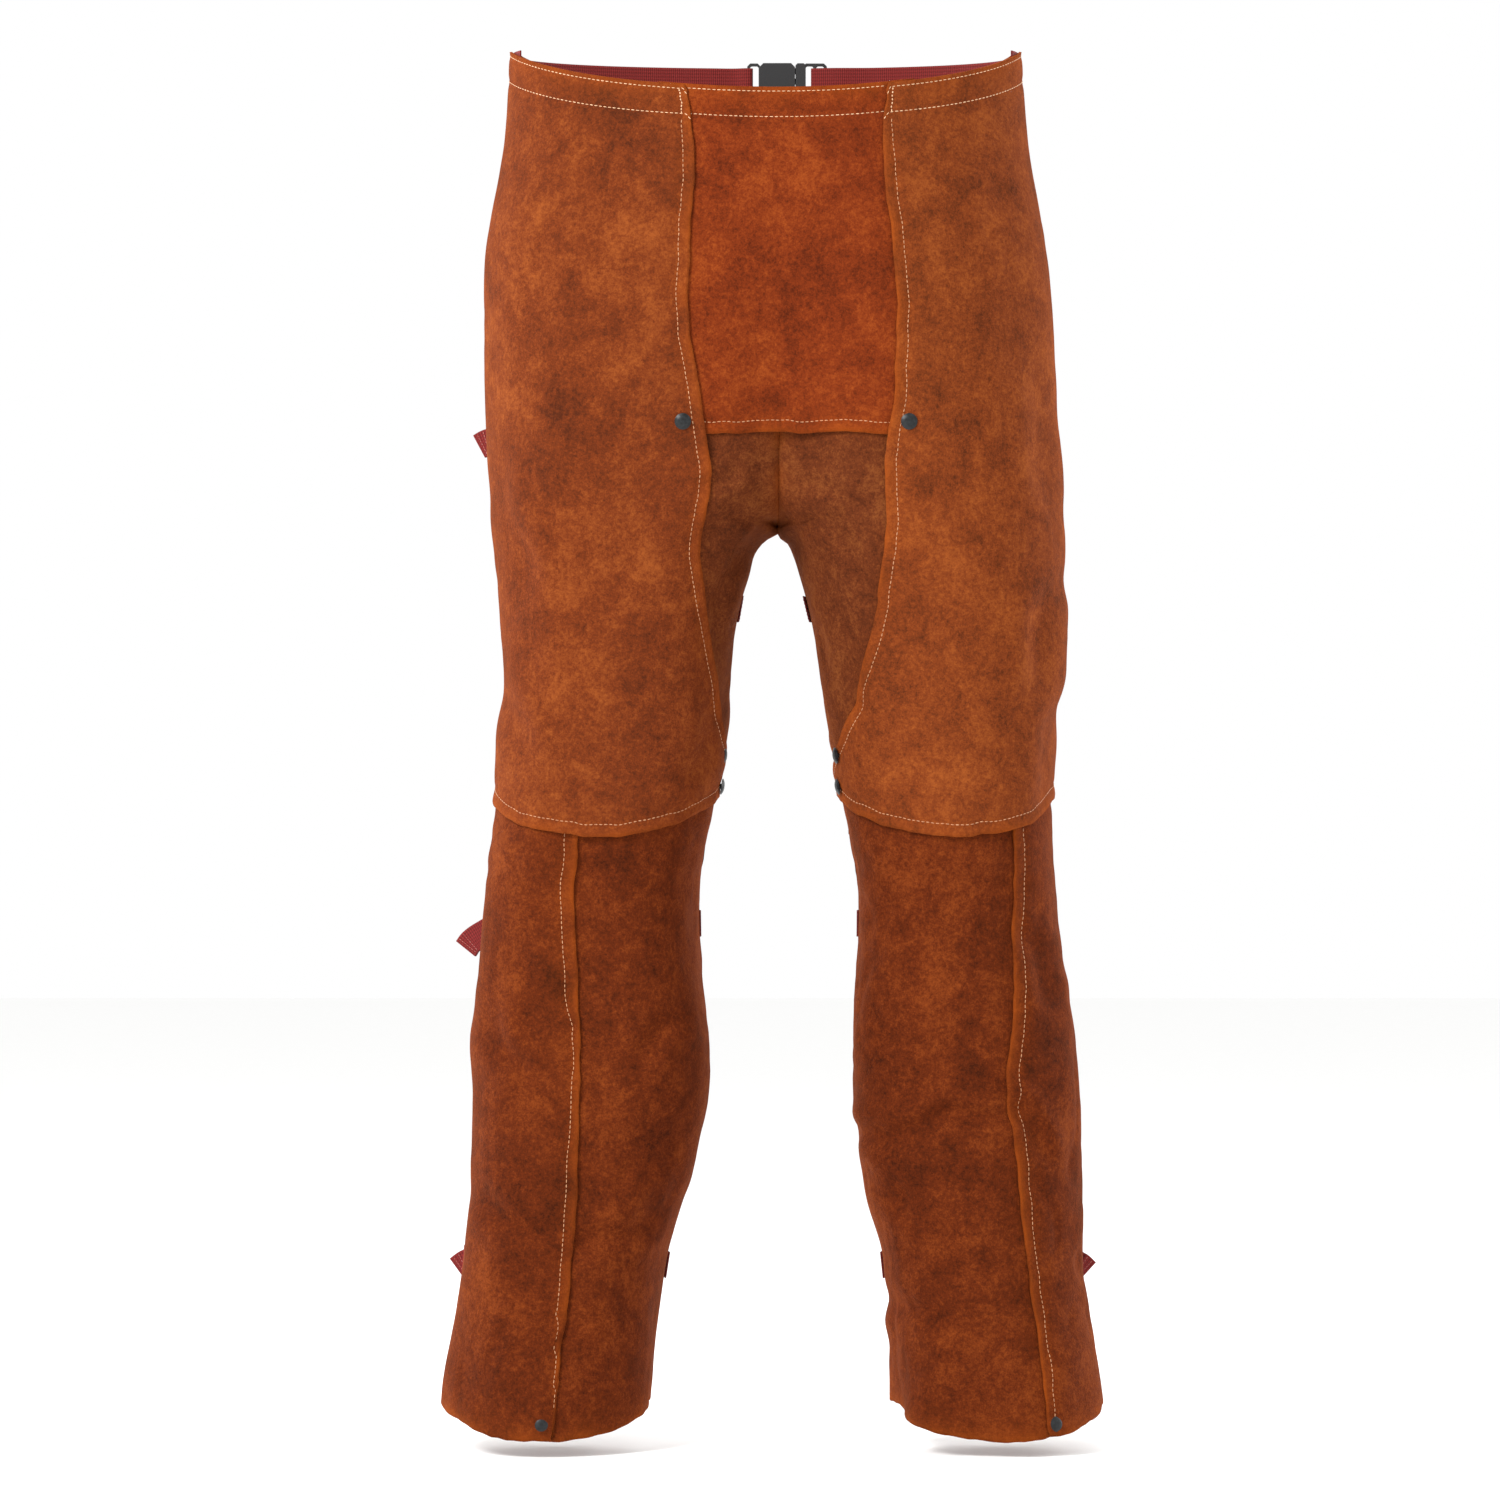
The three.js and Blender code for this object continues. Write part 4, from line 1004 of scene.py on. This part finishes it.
def cross_rows(line, places, thickness):
    """Stitch rows across a webbing at these places on both its faces; a far end is doubled, so thicker."""
    centre, wide, up, reach = line
    rows = []
    for place in places:
        j = nearest(reach, place)
        for face in (-1, 1):
            lift = thickness / 2 if face < 0 else thickness * (1.52 if place > 50 * MM else 0.5)
            row = [centre[j] + wide[j] * s + up[j] * face * lift for s in CROSS_ROW]
            rows.append((np.array(row), np.repeat([up[j] * face], len(CROSS_ROW), axis=0)))
    return rows


def box_stitch(line, start, stop, thickness):
    """A box of stitch rows on both faces of a webbing."""
    centre, wide, up, reach = line
    rows = []
    inside = (reach >= start) & (reach <= stop)
    for across in (-7.5 * MM, 7.5 * MM):
        for face in (-1, 1):
            points = centre[inside] + wide[inside] * across + up[inside] * face * thickness / 2
            rows.append((points, up[inside] * face))
    return rows + cross_rows(line, (start, stop), thickness)


def tab_rows(node, hinge, side):
    """A box of stitches on the outer face of a tab, found by looking at it from outside."""
    bm = merged(node)
    tree = BVHTree.FromBMesh(bm)
    away = sum((v.co for v in bm.verts), Vector()) / len(bm.verts) - hinge
    away.z = 0
    away.normalize()
    end = max((v.co - hinge).dot(away) for v in bm.verts) - 3 * MM
    bm.free()
    out = Vector((away.y, -away.x, 0))
    out *= 1 if out.x * side > 0 else -1
    near, half = 8.5 * MM, 7.6 * MM
    corners = [(near, -half), (near, half), (end, half), (end, -half), (near, -half)]
    rows = []
    for (s0, w0), (s1, w1) in zip(corners, corners[1:]):
        points, normals = [], []
        for t in np.linspace(0, 1, 8):
            spot = hinge + away * (s0 + (s1 - s0) * t) + Vector((0, 0, w0 + (w1 - w0) * t))
            hit = tree.ray_cast(spot + out * 0.02, -out, 0.05)
            if hit[0] is not None:
                points.append(hit[0])
                normals.append(hit[1] * (1 if hit[1].dot(out) > 0 else -1))
        if len(points) > 1:
            rows.append((np.array(points), np.array(normals)))
    return rows


class APRON_OT_webbing(bpy.types.Operator):
    """Make the elastic straps, the waist belt and their stitching"""

    bl_idname = "apron.webbing"
    bl_label = "Webbing"

    def execute(self, context):
        settings = context.scene.apron_webbing
        red = webbing_material("elastic_webbing_red", "#54110F", settings.colour)
        tab = tab_webbing_material()
        pink = thread_material("polyester_thread_red", "#8A3A34", "#C4786C")
        for word in SIDES:
            for height in HEIGHTS:
                self.strap(context, f"{word}_{height}", SIDES[word], red, tab, pink)
        obj, _ = webbing_piece("right_waist_belt", red, settings.thickness)
        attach(obj, "root")
        obj, (centre, *_) = webbing_piece("left_waist_belt", red, settings.thickness)
        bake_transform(obj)
        return {"FINISHED"}

    def strap(self, context, place, side, red, tab, pink):
        """One strap, from the leg to its buckle, with the tab that holds the buckle's bar."""
        thick = context.scene.apron_webbing.thickness
        node, buckle = f"{place}_strap", f"{place}_buckle"
        obj, line = webbing_piece(node, red, thick, TAIL_FLARE.get(node, 0) * side)
        centre, _, _, reach = line
        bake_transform(obj)
        finished(frame["nodes"][f"{node}_tab"], tab, 0.3 * MM)
        ends = (reach[-1] - 2.5 * MM, reach[-1] - 6.5 * MM)
        seams = (
            ("sewn_end", box_stitch(line, 3 * MM, 18 * MM, thick), 2.6 * MM, "root"),
            ("tail", cross_rows(line, ends, thick), 2.4 * MM, buckle),
            ("tab", tab_rows(f"{node}_tab", HINGES[buckle], side), 2.6 * MM, "root"),
        )
        sewing = context.scene.apron_stitching
        for seam, rows, pitch, body in seams:
            name = f"{place}_{seam}_stitches"
            stitched(name, rows, pink, sewing, thick=0.8, pitch=pitch, body=body)


# ---- Hardware ------------------------------------------------------------------------------
class ApronHardware(bpy.types.PropertyGroup):
    wire: length_setting("Wire", "Diameter of the buckles' wire", 2.2 * MM)
    rivet_rim: length_setting("Rivet rim", "Height of the rolled rim of a rivet head", 0.7 * MM)


def wire_shape(name, runs, diameter, material, body, replaces):
    """Round wire along one or more lines: (points, closed)."""
    curve = bpy.data.curves.new(name, "CURVE")
    curve.dimensions = "3D"
    curve.bevel_depth = diameter / 2
    curve.bevel_resolution = 3
    curve.use_fill_caps = True
    for points, closed in runs:
        spline = curve.splines.new("POLY")
        spline.points.add(len(points) - 1)
        for spot, p in zip(spline.points, points):
            spot.co = (*p, 1)
        spline.use_cyclic_u = closed
    temporary = bpy.data.objects.new(name + "_line", curve)
    bpy.context.scene.collection.objects.link(temporary)
    depsgraph = bpy.context.evaluated_depsgraph_get()
    made = bpy.data.meshes.new_from_object(temporary.evaluated_get(depsgraph))
    bpy.data.objects.remove(temporary)
    bm = bmesh.new()
    bm.from_mesh(made)
    bpy.data.meshes.remove(made)
    bmesh.ops.remove_doubles(bm, verts=bm.verts, dist=1e-6)
    bmesh.ops.recalc_face_normals(bm, faces=bm.faces)
    return piece(name, bm, material, body, replaces)


def rounded_corner(corner, a, b, radius, steps=6):
    """Points of a corner's fillet between the sides that leave the corner in directions a and b."""
    centre = corner + (a + b) * radius
    return [
        centre - b * radius * math.cos(t) - a * radius * math.sin(t)
        for t in (math.pi / 2 * k / steps for k in range(steps + 1))
    ]


class APRON_OT_buckles(bpy.types.Operator):
    """Bend the six wire slide buckles"""

    bl_idname = "apron.buckles"
    bl_label = "Wire buckles"

    def execute(self, context):
        wire = context.scene.apron_hardware.wire
        gunmetal = metal("gunmetal_plated_wire", "#34322E", "#5A554C", 0.34, 260.0)
        up = Vector((0, 0, 1))
        for word in SIDES:
            for height in HEIGHTS:
                node = f"{word}_{height}_buckle"
                co = corners_of(node)
                hinge = HINGES[node]
                out = Vector(co.mean(axis=0)) - hinge
                out.z = 0
                out.normalize()
                far = max((Vector(c) - hinge).dot(out) for c in co) - wire / 2
                rail = max(abs(c[2] - hinge.z) for c in co) - wire / 2
                corners = [
                    (hinge - up * rail, up, out),
                    (hinge - up * rail + out * far, -out, up),
                    (hinge + up * rail + out * far, -up, -out),
                    (hinge + up * rail, out, -up),
                ]
                loop = []
                for corner, a, b in corners:
                    loop += rounded_corner(corner, a, b, wire * 1.05)
                middle = hinge + out * far / 2
                bar = [middle - up * rail, middle + up * rail]
                runs = [(loop, True), (bar, False)]
                wire_shape(f"{node}_wire", runs, wire, gunmetal, node, [node])
        return {"FINISHED"}


# A rivet's dome from its middle outwards: share of its radius, and millimetres below its top.
DOME = ((0, 0), (0.25, 0.05), (0.5, 0.28), (0.72, 0.72), (0.88, 1.28), (0.95, 1.52))


class APRON_OT_rivets(bpy.types.Operator):
    """Turn the domed rivet heads and their back washers"""

    bl_idname = "apron.rivets"
    bl_label = "Rivets and burrs"

    def execute(self, context):
        rim = context.scene.apron_hardware.rivet_rim
        lacquer = black_lacquer()
        steel = metal("plain_steel_burr", "#77787A", "#A8A9AA", 0.38, 300.0)
        for word in SIDES:
            for place in RIVETS:
                node, back = f"{word}_{place}_rivet", f"{word}_{place}_burr"
                head, burr = corners_of(node), corners_of(back)
                outwards = head.mean(axis=0) - burr.mean(axis=0)
                self.turn(node, head, outwards, lacquer, "blacked_rivet", rim)
                self.turn(back, burr, -outwards, steel, "steel_burr")
        return {"FINISHED"}

    def turn(self, node, co, axis, material, slot, rim=None):
        """A turned piece in place of a CAD node: a domed rivet with a rolled rim, or without one a burr."""
        # the thinnest direction of the flat head is its true axis
        axis = Vector(axis).normalized()
        depth = co @ np.array(axis)
        head = co[depth > depth.max() - (2.6 * MM if rim else 0.7 * MM)]
        _, _, rows = np.linalg.svd(head - head.mean(axis=0))
        best = max(rows, key=lambda r: abs(Vector(r).dot(axis)))
        axis = Vector(best) * (1 if Vector(best).dot(axis) > 0 else -1)
        depth = co @ np.array(axis)
        spots = co - np.outer(depth, axis)
        top, bottom = depth.max(), depth.min()
        broad = spots[depth > top - (2.3 * MM if rim else (top - bottom))]
        centre = (broad.max(axis=0) + broad.min(axis=0)) / 2
        radius = np.linalg.norm(broad - centre, axis=1).max()
        if rim:
            base, shank = top - 2.2 * MM, 2 * MM
            profile = [(radius * share, top - drop * MM) for share, drop in DOME]
            profile += [(radius, base + rim * 0.75), (radius, base + rim * 0.3)]
            profile += [(radius * 0.96, base), (shank, base), (shank, bottom), (0, bottom)]
        else:
            thick, inner = top - bottom, 2.1 * MM
            profile = [(inner, bottom), (radius * 0.97, bottom), (radius, bottom + thick * 0.25)]
            profile += [(radius, top - thick * 0.35), (radius * 0.93, top)]
            profile += [(inner * 1.5, top + 0.05 * MM), (inner, top - thick * 0.3), (inner, bottom)]
        across = axis.orthogonal().normalized()
        foot = Vector(centre)
        bm = bmesh.new()
        verts = [bm.verts.new(foot + across * r + axis * h) for r, h in profile]
        line = [bm.edges.new(pair) for pair in zip(verts, verts[1:])]
        bmesh.ops.spin(
            bm, geom=verts + line, cent=foot, axis=axis, angle=math.tau, steps=28, use_merge=True
        )
        bmesh.ops.remove_doubles(bm, verts=bm.verts, dist=2e-5)
        bmesh.ops.dissolve_degenerate(bm, edges=bm.edges, dist=1e-6)
        bmesh.ops.recalc_face_normals(bm, faces=bm.faces)
        for edge in bm.edges:
            edge.smooth = edge.calc_face_angle(0) < math.radians(50)
        piece(node + "_turned", bm, material, "root", [node])


class APRON_OT_waist_buckle(bpy.types.Operator):
    """Finish the moulded side-release buckle at the back of the waist"""

    bl_idname = "apron.waist_buckle"
    bl_label = "Waist buckle"

    def execute(self, context):
        acetal = moulded_acetal()
        for name in ("waist_buckle_housing", "waist_buckle_tongue"):
            finished(frame["nodes"][name], acetal, 0.5 * MM)
        return {"FINISHED"}


# ---- Stage ---------------------------------------------------------------------------------
class ApronStage(bpy.types.PropertyGroup):
    distance: length_setting("Camera distance", "From the camera to the garment", 5.0)
    across: length_setting("Width in view", "Width of the view at the garment", 1.111)
    backdrop: colour_setting("Backdrop", "Colour of the floor and backdrop", "#FBFBFA")


def area_light(name, place, target, size, power):
    """A white soft light, turned towards its target."""
    light = bpy.data.lights.new(name, "AREA")
    light.shape, light.size, light.size_y = "RECTANGLE", size[0], size[1]
    light.energy = power
    obj = bpy.data.objects.new(name, light)
    obj.location = place
    obj.rotation_euler = (Vector(target) - Vector(place)).to_track_quat("-Z", "Y").to_euler()
    bpy.context.scene.collection.objects.link(obj)


class APRON_OT_stage(bpy.types.Operator):
    """Set the floor, backdrop, lights and camera"""

    bl_idname = "apron.stage"
    bl_label = "Stage"

    def execute(self, context):
        settings = context.scene.apron_stage
        scene = context.scene
        camera = bpy.data.cameras.new("front_camera")
        camera.sensor_width = 36
        camera.lens = 36 * settings.distance / settings.across
        holder = bpy.data.objects.new("front_camera", camera)
        holder.location = Vector((-0.0205, -settings.distance, -0.505))
        holder.rotation_euler = (math.radians(90), 0, 0)
        scene.collection.objects.link(holder)
        scene.camera = holder
        stops = [(0.3, [c * 0.985 for c in settings.backdrop]), (0.7, settings.backdrop)]
        paper = mottled(
            "seamless_backdrop_paper", 60.0, 4.0, stops, Roughness=0.9, Specular_IOR_Level=0.1
        )
        under = Matrix.Translation((0, 0, CAD_BOX[0].z - 12 * MM))  # clear of the hems, as when worn
        bm = bmesh.new()
        bmesh.ops.create_grid(bm, x_segments=1, y_segments=1, size=9, matrix=under)
        piece("floor", bm, paper, None)
        world = bpy.data.worlds.new("studio")
        scene.world = world
        world.use_nodes = True
        sky = world.node_tree.nodes["Background"]
        sky.inputs["Color"].default_value = (1, 1, 1, 1)
        sky.inputs["Strength"].default_value = 1.0
        scene.view_settings.view_transform = "Standard"
        area_light("key", (-1.9, -2.3, 1.5), (0, 0, -0.5), (0.9, 1.2), 118)
        area_light("fill", (2.2, -2.4, 0.2), (0, 0, -0.5), (1.8, 2.4), 8)
        for name, side in (("right_rim", -1), ("left_rim", 1)):
            area_light(name, (2.2 * side, 1.1, 0.1), (0.15 * side, 0, -0.5), (0.6, 1.8), 36)
        return {"FINISHED"}


OPERATORS = (
    APRON_OT_hide,
    APRON_OT_stitching,
    APRON_OT_webbing,
    APRON_OT_buckles,
    APRON_OT_rivets,
    APRON_OT_waist_buckle,
    APRON_OT_stage,
)
GROUPS = {
    "apron_hide": ApronHide,
    "apron_stitching": ApronStitching,
    "apron_webbing": ApronWebbing,
    "apron_hardware": ApronHardware,
    "apron_stage": ApronStage,
}


class APRON_PT_panel(bpy.types.Panel):
    """Sizes, colours and operators of the apron"""

    bl_idname = "APRON_PT_panel"
    bl_label = "Welding apron"
    bl_space_type = "VIEW_3D"
    bl_region_type = "UI"
    bl_category = "Apron"

    def draw(self, context):
        for name, group in GROUPS.items():
            box = self.layout.box()
            for key in group.__annotations__:
                box.prop(getattr(context.scene, name), key)
        for operator in OPERATORS:
            self.layout.operator(operator.bl_idname)


def register():
    for cls in (*GROUPS.values(), *OPERATORS, APRON_PT_panel):
        bpy.utils.register_class(cls)
    for name, group in GROUPS.items():
        setattr(bpy.types.Scene, name, bpy.props.PointerProperty(type=group))


def unregister():
    for name in GROUPS:
        delattr(bpy.types.Scene, name)
    for cls in reversed((*GROUPS.values(), *OPERATORS, APRON_PT_panel)):
        bpy.utils.unregister_class(cls)


def main():
    register()
    bpy.ops.apron.stage()
    bpy.ops.apron.hide()
    bpy.ops.apron.stitching()
    bpy.ops.apron.webbing()
    bpy.ops.apron.buckles()
    bpy.ops.apron.rivets()
    bpy.ops.apron.waist_buckle()


if __name__ == "__main__":
    main()
